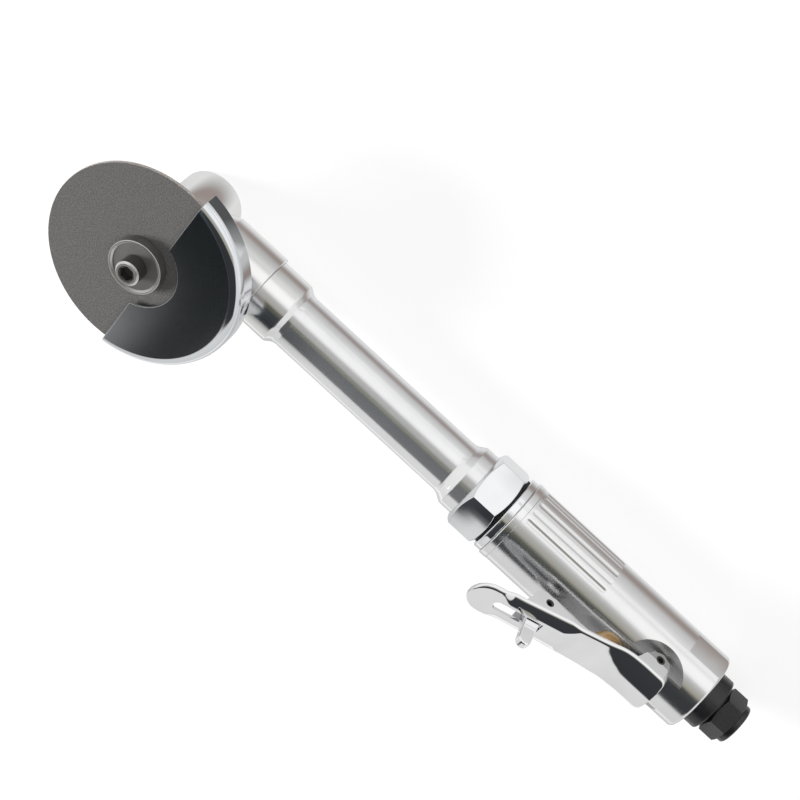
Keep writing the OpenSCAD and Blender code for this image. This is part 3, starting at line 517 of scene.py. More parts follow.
BRASS = finish("brass", (0.94, 0.64, 0.33), (0.98, 0.73, 0.42), (0.26, 0.34), RINGS_Z, metallic=0.4)
RUBBER = finish("rubber", 0.010, 0.018, (0.55, 0.7), lines=0.05, metallic=0.0)
FELT = finish("felt", 0.10, (0.20, 0.20, 0.19), (0.9, 1.0), lines=0.4, metallic=0.0, grain=2500)
VANE_RESIN = finish("vane_resin", (0.20, 0.12, 0.06), (0.27, 0.16, 0.08), (0.5, 0.6), lines=0.05,
                    metallic=0.0)
ABRASIVE = abrasive("abrasive")

SLOT_MATERIALS = {
    "polished_aluminium": HEAD_ALUMINIUM,
    "chrome": CHROME,
    "lever_chrome": LEVER_CHROME,
    "black_oxide": BLACK_OXIDE,
    "dark_steel": DARK_STEEL,
    "steel": STEEL,
    "brass": BRASS,
    "rubber": RUBBER,
    "felt": FELT,
    "vane_resin": VANE_RESIN,
    "abrasive": ABRASIVE,
}


def dress_nodes():
    """The record's material slots on the CAD nodes, which keep their shape."""
    for row in frame["record"]["subparts"]:
        mesh = frame["nodes"][row["node"]].data
        mesh.materials.clear()
        mesh.materials.append(SLOT_MATERIALS[row["material_slot"]])
    for pin in ("lever_pin", "lock_pin"):
        frame["nodes"][pin].data.materials[0] = SCREW_BLACK


# Handle

FLUTES = 9
FLUTE_FIRST = math.radians(53)
FLUTE_STEP = math.radians(15)
FLUTE_CUTTER = 1.7
FLUTE_DEPTH = 0.36
FLUTE_LENGTH = 39.3
FLUTE_LIP = 0.15
FLUTE_GAP = 0.4
FLUTE_LINES = 8
TOP_LINES = 14
LEAST_TURN = 0.003
FLANGE_WIDTH = 2.9
FLANGE_LIP = 0.2
REAR_ROUNDING = 1.6
REAR_PLAIN = 9
MOTOR_RADIUS = 13
SPIGOT_RADIUS = 9.9
SPIGOT_DEPTH = 3.1
POCKET_RADIUS = 15.5
POCKET_DROP = 3.7
WEB_HALF = 7.9
FLAT_DEPTH = 0.8
FLAT_LENGTH = 15.2
LEVER_PIN_HOLE = 1.75


def flute_angles():
    """Angles from straight up of all flutes, both sides."""
    return [side * (FLUTE_FIRST + i * FLUTE_STEP) for i in range(FLUTES) for side in (1, -1)]


def fluted_radius(body_radius, x, angle, start, end):
    """Radius of the housing at a place, with the round-ended flutes cut into it."""
    away = max(start + FLUTE_CUTTER - x, x - end + FLUTE_CUTTER, 0)
    cutter = math.sqrt(max(FLUTE_CUTTER ** 2 - away ** 2, 0))
    radius = body_radius
    centre = body_radius + FLUTE_CUTTER - FLUTE_DEPTH
    for flute in flute_angles():
        off = (angle - flute + math.pi) % (2 * math.pi) - math.pi
        reach = cutter ** 2 - (centre * math.sin(off)) ** 2
        if abs(off) < FLUTE_STEP and reach > 0:
            radius = soft_min(radius, centre * math.cos(off) - math.sqrt(reach), FLUTE_LIP)
    return radius


def housing_angles():
    """Angles of the housing's mesh lines: close together over the flutes, wider over the top."""
    angles = []
    for flute in flute_angles():
        for k in range(-FLUTE_LINES, FLUTE_LINES + 1):
            angles.append(flute + FLUTE_STEP / 2 * math.copysign(abs(k / FLUTE_LINES) ** 0.8, k))
    edge = FLUTE_FIRST - FLUTE_STEP / 2
    angles += [edge * k / TOP_LINES for k in range(1 - TOP_LINES, TOP_LINES)]
    turned_once = sorted(round(a % (2 * math.pi), 5) for a in angles)
    kept = turned_once[:1]
    for angle in turned_once[1:]:
        if angle - kept[-1] > LEAST_TURN:
            kept.append(angle)
    return kept


def housing_shell(x0, x1, flange):
    """Housing from the bottom of its rear spigot, over the flutes, to the bottom of its motor bore."""
    radius = flange - FLANGE_LIP
    x_flange = x1 - FLANGE_WIDTH
    flute_end = x_flange - FLUTE_GAP
    flute_start = flute_end - FLUTE_LENGTH
    x_bore = span("rear_end_plate")[0].x
    x_spigot = x0 + SPIGOT_DEPTH
    rear = rounded([(SPIGOT_RADIUS, x0, 0), (radius, x0, REAR_ROUNDING), (radius, x0 + REAR_PLAIN, 0)])
    front = rounded([
        (radius, flute_end + FLUTE_GAP / 2, 0), (radius, x_flange, 0.15), (flange, x_flange, 0.25),
        (flange, x1, 0.5), (MOTOR_RADIUS, x1, 0), (MOTOR_RADIUS, x_bore, 0), (0, x_bore, 0)])
    rise = [FLUTE_CUTTER * (1 - math.cos(math.pi / 2 * k / FLUTE_LINES)) for k in range(FLUTE_LINES + 1)]
    fluted = [flute_start + step for step in rise] + [flute_end - step for step in reversed(rise)]
    plain = [(0, x_spigot), (SPIGOT_RADIUS, x_spigot), *rear, (radius, flute_start - FLUTE_GAP)]
    stations = [(r, x, False) for r, x in plain]
    stations += [(radius, x, True) for x in fluted]
    stations += [(r, x, False) for r, x in front]
    angles = housing_angles()
    bm = bmesh.new()
    rings = []
    for r, x, in_flutes in stations:
        ring = []
        for angle in angles:
            here = fluted_radius(r, x, angle, flute_start, flute_end) if in_flutes else r
            ring.append(bm.verts.new((x, -here * math.sin(angle), here * math.cos(angle))))
        rings.append(ring)
    strip(bm, rings)
    return make_object("handle_shell", bm)


def build_housing():
    """Fluted housing with the lever's milled pockets, two flats at its rear and the valve's hole."""
    x0, x1, flange = round_x("motor_housing")
    obj = housing_shell(x0, x1, flange)
    pocket_z = Z_PIVOT - POCKET_DROP + POCKET_RADIUS
    flat_y = flange - FLANGE_LIP - FLAT_DEPTH
    for side in (1, -1):
        pocket = rod("pocket", POCKET_RADIUS, (X_PIVOT, side * WEB_HALF, pocket_z),
                     (X_PIVOT, side * PAST, pocket_z), 128)
        flat = block("flat", (x0 - PAST, side * flat_y, -PAST), (x0 + FLAT_LENGTH, side * PAST, PAST))
        cut(obj, pocket, flat)
    z0, _, bush = round_z("valve_bushing")
    cut(obj, rod("bush_hole", bush, (X_VALVE, 0, z0), (X_VALVE, 0, PAST), 96),
        pin_hole(LEVER_PIN_HOLE, X_PIVOT, Z_PIVOT))
    shade(obj, 28)
    fit(obj, ALUMINIUM, "handle", "polished_aluminium", "motor_housing")
    second_finish(obj, MILLED, lambda at, normal: abs(at.y) > WEB_HALF - TOUCH
         and math.hypot(at.x - X_PIVOT, at.z - pocket_z) < POCKET_RADIUS + TOUCH)


INLET_RING = 8.1
INLET_RING_END = 2.4
INLET_HEX = 17
INLET_HEX_END = 9.9
INLET_HEX_TURN = math.radians(10.6)
INLET_HEX_CHAMFER = 0.8
INLET_SHANK = 7.5
THREAD_BORE = 5.6
THREAD_END = 14
THREAD_PITCH = 1.4
THREAD_DEPTH = 0.45
THREAD_LAND = 0.2
THROUGH_BORE = 4.2


def build_inlet():
    """Inlet bushing with rings for the thread in its bore, and the hexagon on it."""
    x0, x1, _ = round_x("inlet_bushing")
    outline = [(THREAD_BORE + 0.5, x0, 0.3), (INLET_RING, x0, 1.0), (INLET_RING, INLET_RING_END, 0.3),
               (INLET_SHANK, INLET_RING_END, 0), (INLET_SHANK, x1, 0), (THROUGH_BORE, x1, 0),
               (THROUGH_BORE, THREAD_END, 0)]
    crest = THREAD_BORE - THREAD_DEPTH
    for k in range(int((THREAD_END - 1) / THREAD_PITCH)):
        x = THREAD_END - THREAD_PITCH * k - THREAD_LAND / 2
        x_flank = x - THREAD_LAND
        x_crest = x_flank - THREAD_DEPTH
        outline += [(THREAD_BORE, x, 0), (THREAD_BORE, x_flank, 0), (crest, x_crest, 0),
                    (crest, x_crest - THREAD_LAND, 0)]
    obj = turned("inlet_bushing_piece", rounded(outline), ALONG_X, 128)
    face = INLET_HEX / 2 - 0.1
    corner = INLET_HEX / 2 + 2 * INLET_HEX_CHAMFER
    blank = rounded([(face, INLET_RING_END, 0.2), (corner, INLET_RING_END + INLET_HEX_CHAMFER, 0.3),
                     (corner, INLET_HEX_END - INLET_HEX_CHAMFER, 0.3), (face, INLET_HEX_END, 0.2)],
                    closed=False)
    nut = hexagon("inlet_hex", INLET_HEX, blank, INLET_SHANK, ALONG_X, INLET_HEX_TURN)
    shade(obj)
    shade(nut)
    fit(obj, BLACK_OXIDE, "handle", "black_oxide", "inlet_bushing")
    fit(nut, BLACK_OXIDE, "handle", "black_oxide")


SLEEVE_WALL = 1.2
SLEEVE_BORE = 7.55
SLEEVE_HOLES = 8
SLEEVE_HOLE = 0.5
SLEEVE_HOLE_DEPTH = 1.1
SLEEVE_ROUNDING = 0.8


def build_sleeve():
    """Exhaust sleeve: a thin cap over the muffler, seated in the housing, with holes in its end."""
    x0, x1, radius = round_x("exhaust_sleeve")
    x_seat = span("motor_housing")[0].x
    x_wall = x0 + SLEEVE_WALL
    inner = round_x("exhaust_muffler")[2]
    outline = rounded([
        (inner, x1, 0), (SPIGOT_RADIUS, x1, 0), (SPIGOT_RADIUS, x_seat, 0), (radius, x_seat, 0.15),
        (radius, x0, SLEEVE_ROUNDING), (SLEEVE_BORE, x0, 0.1), (SLEEVE_BORE, x_wall, 0),
        (inner, x_wall, 0)])
    obj = turned("exhaust_sleeve_piece", outline, ALONG_X)
    around = (SLEEVE_BORE + inner) / 2
    for angle in even(SLEEVE_HOLES):
        y, z = around * math.cos(angle), around * math.sin(angle)
        cut(obj, rod("hole", SLEEVE_HOLE, (x0 - 1, y, z), (x0 + SLEEVE_HOLE_DEPTH, y, z), 24))
    shade(obj, TURNED)
    fit(obj, BLACK_OXIDE, "handle", "black_oxide", "exhaust_sleeve")


def build_ring(node, corner, material, slot):
    """Ring round the motor's front end, with rounded outer corners."""
    x0, x1, radius = round_x(node)
    obj = turned(node + "_piece", rounded([
        (MOTOR_RADIUS, x0, 0), (radius, x0, corner), (radius, x1, corner), (MOTOR_RADIUS, x1, 0)]), ALONG_X)
    shade(obj, TURNED)
    fit(obj, material, "handle", slot, node)


NUT_REAR_CHAMFER = 1.4
NUT_FRONT_CHAMFER = 1.9
NUT_CROWN = 0.22
NUT_CORNER = 1.15


def build_nut():
    """Hexagonal clamp nut between the handle and the extension, with slightly crowned flats."""
    low, high = span("clamp_nut")
    across_flats = min(high.y - low.y, high.z - low.z)
    half = across_flats / 2
    corner = half * NUT_CORNER
    blank = rounded([(half - 0.2, low.x, 0.2), (corner, low.x + NUT_REAR_CHAMFER, 0.4),
                     (corner, high.x - NUT_FRONT_CHAMFER, 0.4), (half - 1.1, high.x, 0.3)], closed=False)
    flat_up = high.z - low.z < high.y - low.y
    turn = math.pi / 2 if flat_up else 0
    nut = hexagon("clamp_nut_piece", across_flats, blank, MOTOR_RADIUS, ALONG_X, turn, crown=NUT_CROWN)
    shade(nut)
    fit(nut, CHROME, "handle", "chrome", "clamp_nut")


TUBE_COLLAR = 13.2
TUBE_BARREL = 11
TUBE_FRONT = 13.1
TUBE_SPIGOT = 11
TUBE_BORE = 9
COLLAR_LENGTH = 5.4
FLARE_LENGTH = 4.3
BARREL_LENGTH = 77.8
TAPER_LENGTH = 3.9
NECK_RISE = 0.45
NECK_LENGTH = 1.4


def build_tube():
    """Extension tube with its rear collar, flare, slim barrel and front collar."""
    low, high = span("extension_tube")
    x_collar = span("clamp_nut")[1].x
    x_head = span("angle_head")[0].x
    x_flare = x_collar + COLLAR_LENGTH
    x_barrel = x_flare + FLARE_LENGTH
    x_taper = x_barrel + BARREL_LENGTH
    x_front = x_taper + TAPER_LENGTH
    neck = TUBE_BARREL + NECK_RISE
    outline = rounded([
        (TUBE_BORE, low.x, 0), (MOTOR_RADIUS, low.x, 0), (MOTOR_RADIUS, x_collar, 0),
        (TUBE_COLLAR, x_collar, 0.2), (TUBE_COLLAR, x_flare, 0.9), (neck, x_barrel - NECK_LENGTH, 1.5),
        (TUBE_BARREL, x_barrel, 3), (TUBE_BARREL, x_taper, 3), (neck, x_taper + NECK_LENGTH, 1.5),
        (TUBE_FRONT - 0.25, x_front - 0.5, 0.8), (TUBE_FRONT, x_front, 0.5), (TUBE_FRONT, x_head, 0.4),
        (TUBE_SPIGOT, x_head, 0), (TUBE_SPIGOT, high.x, 0), (TUBE_BORE, high.x, 0)])
    obj = turned("extension_tube_piece", outline, ALONG_X)
    shade(obj, TURNED)
    fit(obj, TUBE_ALUMINIUM, "handle", "polished_aluminium", "extension_tube")
    second_finish(obj, HEAD_ALUMINIUM, lambda at, normal: at.x > x_front)


# Wheel and guard

WHEEL_BORE = 4.75
WHEEL_EASE = 0.25
OUTER_HOLE = 3
OUTER_LIP = 0.8
OUTER_DISH = 0.8
OUTER_SLOPE = 0.7
OUTER_HIGHLIGHT = 0.4


def build_wheel():
    """Abrasive wheel and its dished outer flange, whose rim carries a painted highlight."""
    z0, z1, radius = round_z("cut_off_wheel")
    wheel = turned("cut_off_wheel_piece", rounded([
        (WHEEL_BORE, z0, 0), (radius, z0, WHEEL_EASE), (radius, z1, WHEEL_EASE), (WHEEL_BORE, z1, 0)]),
        AT_SPINDLE, 256)
    shade(wheel, TURNED)
    fit(wheel, ABRASIVE, "spindle", "abrasive", "cut_off_wheel")
    z0, z1, radius = round_z("outer_flange")
    rim = radius - OUTER_LIP
    z_dish = z1 - OUTER_DISH
    flange = turned("outer_flange_piece", rounded([
        (OUTER_HOLE, z0, 0), (radius, z0, 0.2), (radius, z1, 0.3), (rim, z1, 0.15),
        (rim - OUTER_SLOPE, z_dish, 0.3), (OUTER_HOLE, z_dish, 0)]), AT_SPINDLE)
    shade(flange, TURNED)
    fit(flange, DARK_STEEL, "spindle", "dark_steel", "outer_flange")
    # Painted highlight: pale steel on the top of the flange's rim
    second_finish(flange, HIGHLIGHT_STEEL, lambda at, normal: at.z > z1 - OUTER_HIGHLIGHT)


SCREW_HEAD = 4.8
SCREW_HEAD_HEIGHT = 6
SCREW_SHANK = 3
SCREW_CHAMFER = 0.6
SOCKET = 5
SOCKET_DEPTH = 3.2
SOCKET_SINK = 0.35


def build_screw():
    """Socket head screw with a chamfered head and a deep hexagon socket."""
    z0, z1, _ = round_z("wheel_screw")
    z_head = z1 - SCREW_HEAD_HEIGHT
    z_chamfer = z1 - SCREW_CHAMFER
    z_sink = z1 - SOCKET_SINK
    mouth = SOCKET / 2 + 0.75
    obj = turned("wheel_screw_piece", rounded([
        (0, z0, 0), (SCREW_SHANK, z0, 0.4), (SCREW_SHANK, z_head, 0), (SCREW_HEAD, z_head, 0.2),
        (SCREW_HEAD, z_chamfer, 0.15), (SCREW_HEAD - 0.7, z1, 0.15), (mouth, z1, 0.1),
        (mouth - SOCKET_SINK, z_sink, 0), (0, z_sink, 0)]), AT_SPINDLE, 96)
    cut(obj, prism("socket", 6, SOCKET, z1 - SOCKET_DEPTH, z1 + 5, AT_SPINDLE))
    shade(obj)
    fit(obj, SCREW_BLACK, "spindle", "dark_steel", "wheel_screw")
    # Painted highlight: pale steel on the upward faces of the head's chamfer, outside the socket
    second_finish(obj, HIGHLIGHT_STEEL, lambda at, normal: at.z > z_chamfer - 0.08 and normal.z > 0.25
         and (at.xy - Vector((X_SPIN, 0))).length > SOCKET / 2 + 0.9)


GUARD_SHEET = 1.1
GUARD_BEND = 4.0
GUARD_CUT = 16.5
GUARD_EDGE = -5.9
GUARD_EASE = 0.45
NOSE = 11.05
NOSE_RING = 2.1


def build_guard():
    """Pressed sheet guard: a half shell round the wheel, bent into its front face, and its nose ring."""
    low, high = span("wheel_guard")
    z0, z1 = low.z, high.z
    radius = (high.y - low.y) / 2
    inside = radius - GUARD_SHEET
    z_in, z_face = z0 + GUARD_SHEET, z1 - GUARD_SHEET
    outline = rounded([
        (GUARD_CUT, z1, 0), (radius, z1, GUARD_BEND), (radius, z0, 0.3), (NOSE, z0, 0), (NOSE, z_in, 0),
        (inside, z_in, 0.4), (inside, z_face, GUARD_BEND - GUARD_SHEET), (GUARD_CUT, z_face, 0)], steps=10)
    obj = part_turned("wheel_guard_piece", outline, GUARD_EDGE, AT_SPINDLE)
    ease(obj, GUARD_EASE, segments=3, angle=50)
    shade(obj, TURNED)
    fit(obj, GUARD_CHROME, "guard", "chrome", "wheel_guard")
    rim = NOSE + NOSE_RING
    ring = turned("guard_ring", rounded([
        (NOSE, z0, 0), (rim, z0, 0.1), (rim, z_in, 0.1), (NOSE, z_in, 0)]), AT_SPINDLE)
    shade(ring, TURNED)
    fit(ring, GUARD_CHROME, "guard", "chrome")


# Throttle

SHEET = 1.3
BEND_RADIUS = 18
SLOPE = math.radians(20.5)
SLOPE_LENGTH = 57.2
REAR_HALF = 9.5
FRONT_HALF = 7.6
NARROW_START = -6
NARROW_LENGTH = 44
LEVER_TOP = 22
LEVER_FOLD = 1.4
REAR_ROUND = 2.6
X_LEVER = X_PIVOT - 6.5
X_BEND = X_PIVOT + 7.8
REAR_END = X_LEVER - X_BEND - BEND_RADIUS * SLOPE
LEVER_POINTS = 30
FINE_STEP = 0.2
STEP = 0.5
FINE_ZONES = ((REAR_END - 1, -16), (-10, -6), (34, 39), (SLOPE_LENGTH - 3, SLOPE_LENGTH))

# Along the lever, as (place, value): how far its waist draws in and dips, the half width of its flat top,
# the angle in degrees at which its top meets the fold, and the depth of its folded sides with their ears

WAIST = ((-4, 0), (7, 0.45), (13, 0.45), (20, 0))
DIP = ((-4, 0), (7, 0.9), (13, 0.9), (20, 0))
FLAT_HALF = ((-8, 0.05), (10, 4.5), (20, 2.3), (42, 2.3), (49, 5.5))
SIDE_ANGLE = ((-12, 25), (-4, 19), (7, 0.5), (13, 0.5), (20, 31), (42, 31), (49, 3))
DEPTH = ((-20.8, 3.0), (-19.4, 8.0), (-17.5, 11.4), (-14.2, 12.8), (-11, 11.4), (-9, 8.2), (-6.4, 2.9),
         (0, 2.0), (7, 1.75), (12, 1.75), (17, 3.0), (21, 4.8), (28, 8.6), (31.5, 9.8), (34.5, 8.6),
         (36.5, 4.8), (38.6, 2.3), (44, 1.6))

# Share of a section's points at which its flat, its arch, its fold and its side end

FLAT_END = 0.175
ARCH_END = 0.5
FOLD_END = 0.775


def between(stops, value):
    """Value on a smooth curve through (place, value) stops."""
    if value <= stops[0][0]:
        return stops[0][1]
    for (a, low), (b, high) in zip(stops, stops[1:]):
        if value <= b:
            t = (value - a) / (b - a)
            return low + (high - low) * t * t * (3 - 2 * t)
    return stops[-1][1]


def lever_line(u):
    """Point on the lever's top line and its slope; u is 0 where the straight grip begins."""
    arc_length = BEND_RADIUS * SLOPE
    if u < -arc_length:
        return Vector((X_BEND + u + arc_length, LEVER_TOP)), 0.0
    turn = min(u + arc_length, arc_length) / BEND_RADIUS
    point = Vector((X_BEND + BEND_RADIUS * math.sin(turn), LEVER_TOP + BEND_RADIUS * (1 - math.cos(turn))))
    if u > 0:
        point += Vector((math.cos(SLOPE), math.sin(SLOPE))) * u
    return point, turn


def lever_half(u):
    """Half width of the lever: narrower towards the front, with a waist and round ends."""
    front = SLOPE_LENGTH - FRONT_HALF
    if u > front:
        return math.sqrt(max(FRONT_HALF ** 2 - (u - front) ** 2, 0.01))
    narrowed = min(max((u - NARROW_START) / NARROW_LENGTH, 0), 1)
    half = REAR_HALF + (FRONT_HALF - REAR_HALF) * narrowed - between(WAIST, u)
    before_rear = REAR_END + REAR_ROUND - u
    if before_rear > 0:
        half -= REAR_ROUND - math.sqrt(max(REAR_ROUND ** 2 - before_rear ** 2, 0))
    return half


def lever_section(u):
    """Half of the lever's cross section at u, as (side, drop) points from the middle to the lower edge."""
    half = lever_half(u)
    fold = min(LEVER_FOLD, half * 0.4)
    flat = min(between(FLAT_HALF, u), half * 0.6)
    start = math.radians(between(SIDE_ANGLE, u))
    edge = half - fold * (1 - math.sin(start))
    arch = (edge - flat) / math.sin(start)
    rim = Vector((edge, arch * (1 - math.cos(start))))
    foot = rim + fold * Vector((1 - math.sin(start), math.cos(start)))
    leg = max(between(DEPTH, u) - foot.y, 0.02)
    points = []
    for k in range(LEVER_POINTS):
        s = k / (LEVER_POINTS - 1)
        if s <= FLAT_END:
            points.append(Vector((flat * s / FLAT_END, 0)))
        elif s <= ARCH_END:
            turn = start * (s - FLAT_END) / (ARCH_END - FLAT_END)
            points.append(Vector((flat + arch * math.sin(turn), arch * (1 - math.cos(turn)))))
        elif s <= FOLD_END:
            turn = start + (math.pi / 2 - start) * (s - ARCH_END) / (FOLD_END - ARCH_END)
            reach = Vector((math.sin(turn) - math.sin(start), math.cos(start) - math.cos(turn)))
            points.append(rim + fold * reach)
        else:
            points.append(foot + Vector((0, leg * (s - FOLD_END) / (1 - FOLD_END))))
    stretch = half / max(point.x for point in points)
    dip = between(DIP, u)
    return [Vector((point.x * stretch, point.y + dip)) for point in points]


def lever_places():
    """Stations along the lever, closer together at its ends and at the ends of its ears."""
    places = []
    u = REAR_END
    while u < SLOPE_LENGTH - 0.1:
        places.append(u)
        u += FINE_STEP if any(start < u < end for start, end in FINE_ZONES) else STEP
    places.append(SLOPE_LENGTH - 0.02)
    return places


def lever_sheet():
    """Folded sheet of the lever, thickened inwards, with a rougher inner face whose darker tone is painted
    shade.
    """
    bm = bmesh.new()
    rows = []
    for u in lever_places():
        point, turn = lever_line(u)
        down = Vector((math.sin(turn), -math.cos(turn)))
        section = lever_section(u)
        row = []
        for side, ordered in ((-1, section[:0:-1]), (1, section)):
            for y, drop in ordered:
                spot = point + down * drop
                row.append(bm.verts.new((spot.x, side * y, spot.y)))
        rows.append(row)
    for low, high in zip(rows, rows[1:]):
        for k in range(len(low) - 1):
            bm.faces.new((low[k], high[k], high[k + 1], low[k + 1]))
    obj = make_object("throttle_lever_piece", bm)
    obj.data.materials.append(LEVER_CHROME)
    # Painted shade: the darker chrome goes on the inner face
    obj.data.materials.append(SHADED_LEVER_CHROME)
    thick = obj.modifiers.new("sheet", "SOLIDIFY")
    thick.thickness = SHEET * MM
    thick.material_offset = 1
    middle = obj.data.polygons[len(obj.data.polygons) // 2]
    thick.offset = -1 if middle.normal.z > 0 else 1
    apply_modifiers(obj)
    bm = bmesh.new()
    bm.from_mesh(obj.data)
    bmesh.ops.recalc_face_normals(bm, faces=bm.faces)
    bm.to_mesh(obj.data)
    bm.free()
    return obj


SLOT_HALF = 2.1
SLOT_START = 27.6
SLOT_END = 47.2
SLOT_CUT = 5


def lever_slot():
    """Cutter for the round-ended slot that the lock tab stands in."""
    corners = [Vector((SLOT_START, -SLOT_HALF)), Vector((SLOT_START, SLOT_HALF))]
    corners += arc(Vector((SLOT_END - SLOT_HALF, 0)), SLOT_HALF, math.pi / 2, -math.pi, 16)
    bm = bmesh.new()
    rings = ([], [])
    for u, y in corners:
        point, turn = lever_line(u)
        for ring, drop in zip(rings, (SLOT_CUT, -SLOT_CUT)):
            ring.append(bm.verts.new((point.x + math.sin(turn) * drop, y, point.y - math.cos(turn) * drop)))
    capped(bm, rings)
    return make_object("slot", bm)


PIVOT_HOLE = 1.78
LOCK_HOLE = 1.6


def build_lever():
    """Throttle lever with its slot and the holes for its two pins."""
    obj = lever_sheet()
    cut(obj, lever_slot(), pin_hole(PIVOT_HOLE, X_PIVOT, Z_PIVOT), pin_hole(LOCK_HOLE, X_LOCK, Z_LOCK))
    shade(obj, TURNED)
    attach(obj, "lever")
    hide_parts("throttle_lever")


BUSH_BORE = 2.05
BUSH_DOME = 3.1


def build_bushing():
    """Brass valve bushing with a domed top and a bore for the stem."""
    z0, z1, radius = round_z("valve_bushing")
    obj = turned("valve_bushing_piece", rounded([
        (BUSH_BORE, z0, 0), (radius, z0, 0), (radius, z1 - 0.2, 1.9), (radius - BUSH_DOME, z1, 1.5),
        (BUSH_BORE, z1, 0.2)]), Matrix.Translation((X_VALVE, 0, 0)), 128)
    shade(obj, TURNED)
    fit(obj, BRASS, "handle", "brass", "valve_bushing")


SPRING_TURNS = 5
SPRING_STEPS = 32
SPRING_SIDES = 10
SPRING_WIRE = 0.35


def build_spring():
    """Valve spring on its seat."""
    low, high = span("valve_spring")
    radius = (high.y - low.y) / 2 - SPRING_WIRE
    length = high.z - low.z
    count = SPRING_TURNS * SPRING_STEPS
    bm = bmesh.new()
    rings = []
    for i in range(count + 1):
        angle = 2 * math.pi * i / SPRING_STEPS
        height = SPRING_WIRE + (length - 2 * SPRING_WIRE) * i / count
        ring = []
        for around in even(SPRING_SIDES):
            reach = radius + SPRING_WIRE * math.cos(around)
            ring.append(bm.verts.new((reach * math.cos(angle), reach * math.sin(angle),
                                      height + SPRING_WIRE * math.sin(around))))
        rings.append(ring)
    capped(bm, rings)
    obj = make_object("valve_spring_piece", bm, Matrix.Translation((X_VALVE, 0, low.z)))
    shade(obj, TURNED)
    fit(obj, STEEL, "handle", "steel", "valve_spring")
    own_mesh(obj)


TAB_WIDTH = 5
TAB_LEAN = math.radians(4)
TAB_FOOT = 3.1
TAB_NECK = 7
TAB_NECK_REAR = 2.7
TAB_NECK_FRONT = 3.2
TAB_EASE = 0.7
TAB_HOLE = 1.63


def build_tab():
    """Lock tab: a rounded finger on its pin, drawn from its side outline."""
    low, high = span("lock_tab")
    half_thick = (high.y - low.y) / 2
    pin = Vector((X_LOCK, Z_LOCK))
    tip = Vector((X_LOCK - (high.z - Z_LOCK) * math.tan(TAB_LEAN), high.z - TAB_WIDTH / 2))
    outline = arc(tip, TAB_WIDTH / 2, 0, math.pi, 24)
    outline.append(pin + Vector((-TAB_NECK_REAR, TAB_NECK)))
    outline += arc(pin, TAB_FOOT, math.pi, math.pi, 24)
    outline.append(pin + Vector((TAB_NECK_FRONT, TAB_NECK)))
    bm = bmesh.new()
    capped(bm, [[bm.verts.new((x, y, z)) for x, z in outline] for y in (-half_thick, half_thick)])
    obj = make_object("lock_tab_piece", bm)
    ease(obj, TAB_EASE, segments=5, angle=60)
    cut(obj, pin_hole(TAB_HOLE, X_LOCK, Z_LOCK))
    shade(obj, TURNED)
    fit(obj, LEVER_CHROME, "lock", "lever_chrome", "lock_tab")


# Floor

FLOOR_HALF = 4
FLOOR_GLOW = 0.85
BACK_Y = 240
FRONT_Y = -160
WHEEL_SIDE = (200, 234)
# Brown of the painted shade that the metal mirrors beside the tool
SHADE_BROWN = (0.34, 0.29, 0.27)

# Painted shade that the metal mirrors: tones of the floor that darken near the tool in place of its shadow,
# as (y, tone) from the back to the front

SHADE_UNDER_TOOL = ((240, 1.0), (60, 0.60), (0, 0.75), (-12, 0.83), (-17, 0.54), (-21, SHADE_BROWN), (-26, SHADE_BROWN))
SHADE_BESIDE_TOOL = (*SHADE_UNDER_TOOL, (-36, 0.60), (-60, 0.71), (-100, 0.80), (-160, 1.0))
SHADE_BESIDE_WHEEL = (*SHADE_UNDER_TOOL, (-36, 0.50), (-60, 0.62), (-104, 0.75))


def mirrored_floor_shade(tree, y, stops):
    """Painted shade of the floor for the reflections, from (y, tone) stops in millimetres."""
    place = scaled(tree, y, BACK_Y * MM, FRONT_Y * MM)
    return ramp(tree, place, *[((BACK_Y - at) / (BACK_Y - FRONT_Y), tone) for at, tone in stops])


def build_floor():
    """White floor that keeps the soft shadow; the metal mirrors it with painted shade that darkens beside
    the tool.
    """
    bm = bmesh.new()
    bmesh.ops.create_grid(bm, x_segments=2, y_segments=2, size=FLOOR_HALF)
    bmesh.ops.translate(bm, verts=bm.verts, vec=(0, 0, cad_box[0][2]))
    mesh = bpy.data.meshes.new("floor")
    bm.to_mesh(mesh)
    bm.free()
    floor = bpy.data.objects.new("floor", mesh)
    bpy.context.collection.objects.link(floor)
    material, tree = bare_surface("floor_white")
    plain = node(tree, "ShaderNodeBsdfDiffuse", Color=(0.8, 0.8, 0.8, 1))
    shaded = node(tree, "ShaderNodeBsdfDiffuse", Color=(0.22, 0.22, 0.22, 1))
    glow = node(tree, "ShaderNodeEmission", Color=(1, 1, 1, 1), Strength=FLOOR_GLOW)
    bright = tree.nodes.new("ShaderNodeAddShader")
    tree.links.new(shaded.outputs["BSDF"], bright.inputs[0])
    tree.links.new(glow.outputs["Emission"], bright.inputs[1])
    at = axes(tree, coordinates(tree, "Object"))
    # Painted shade for the reflections: the tones darken beside the tool and change beside the wheel
    near_wheel = scaled(tree, at["X"], WHEEL_SIDE[0] * MM, WHEEL_SIDE[1] * MM)
    tone = blend(tree, near_wheel, mirrored_floor_shade(tree, at["Y"], SHADE_BESIDE_TOOL),
                 mirrored_floor_shade(tree, at["Y"], SHADE_BESIDE_WHEEL))
    seen = choose(tree, either(tree, "Is Camera Ray", "Is Transmission Ray"), plain.outputs["BSDF"],
                  bright.outputs["Shader"])
    both = choose(tree, either(tree, "Is Glossy Ray"), seen, emission(tree, tone))
    tree.links.new(both, tree.nodes["Material Output"].inputs["Surface"])
    mesh.materials.append(material)


# Card

CARD_START = 219
CARD_END = 266
CARD_HEIGHT = 5
CARD_CORNERS = ((CARD_START, -38), (CARD_START, -52), (CARD_END, -74), (CARD_END, -54))
CARD_FADE = ((0.06, 0.80), (0.18, 0.36), (0.50, 0.10), (1.0, 0.11))


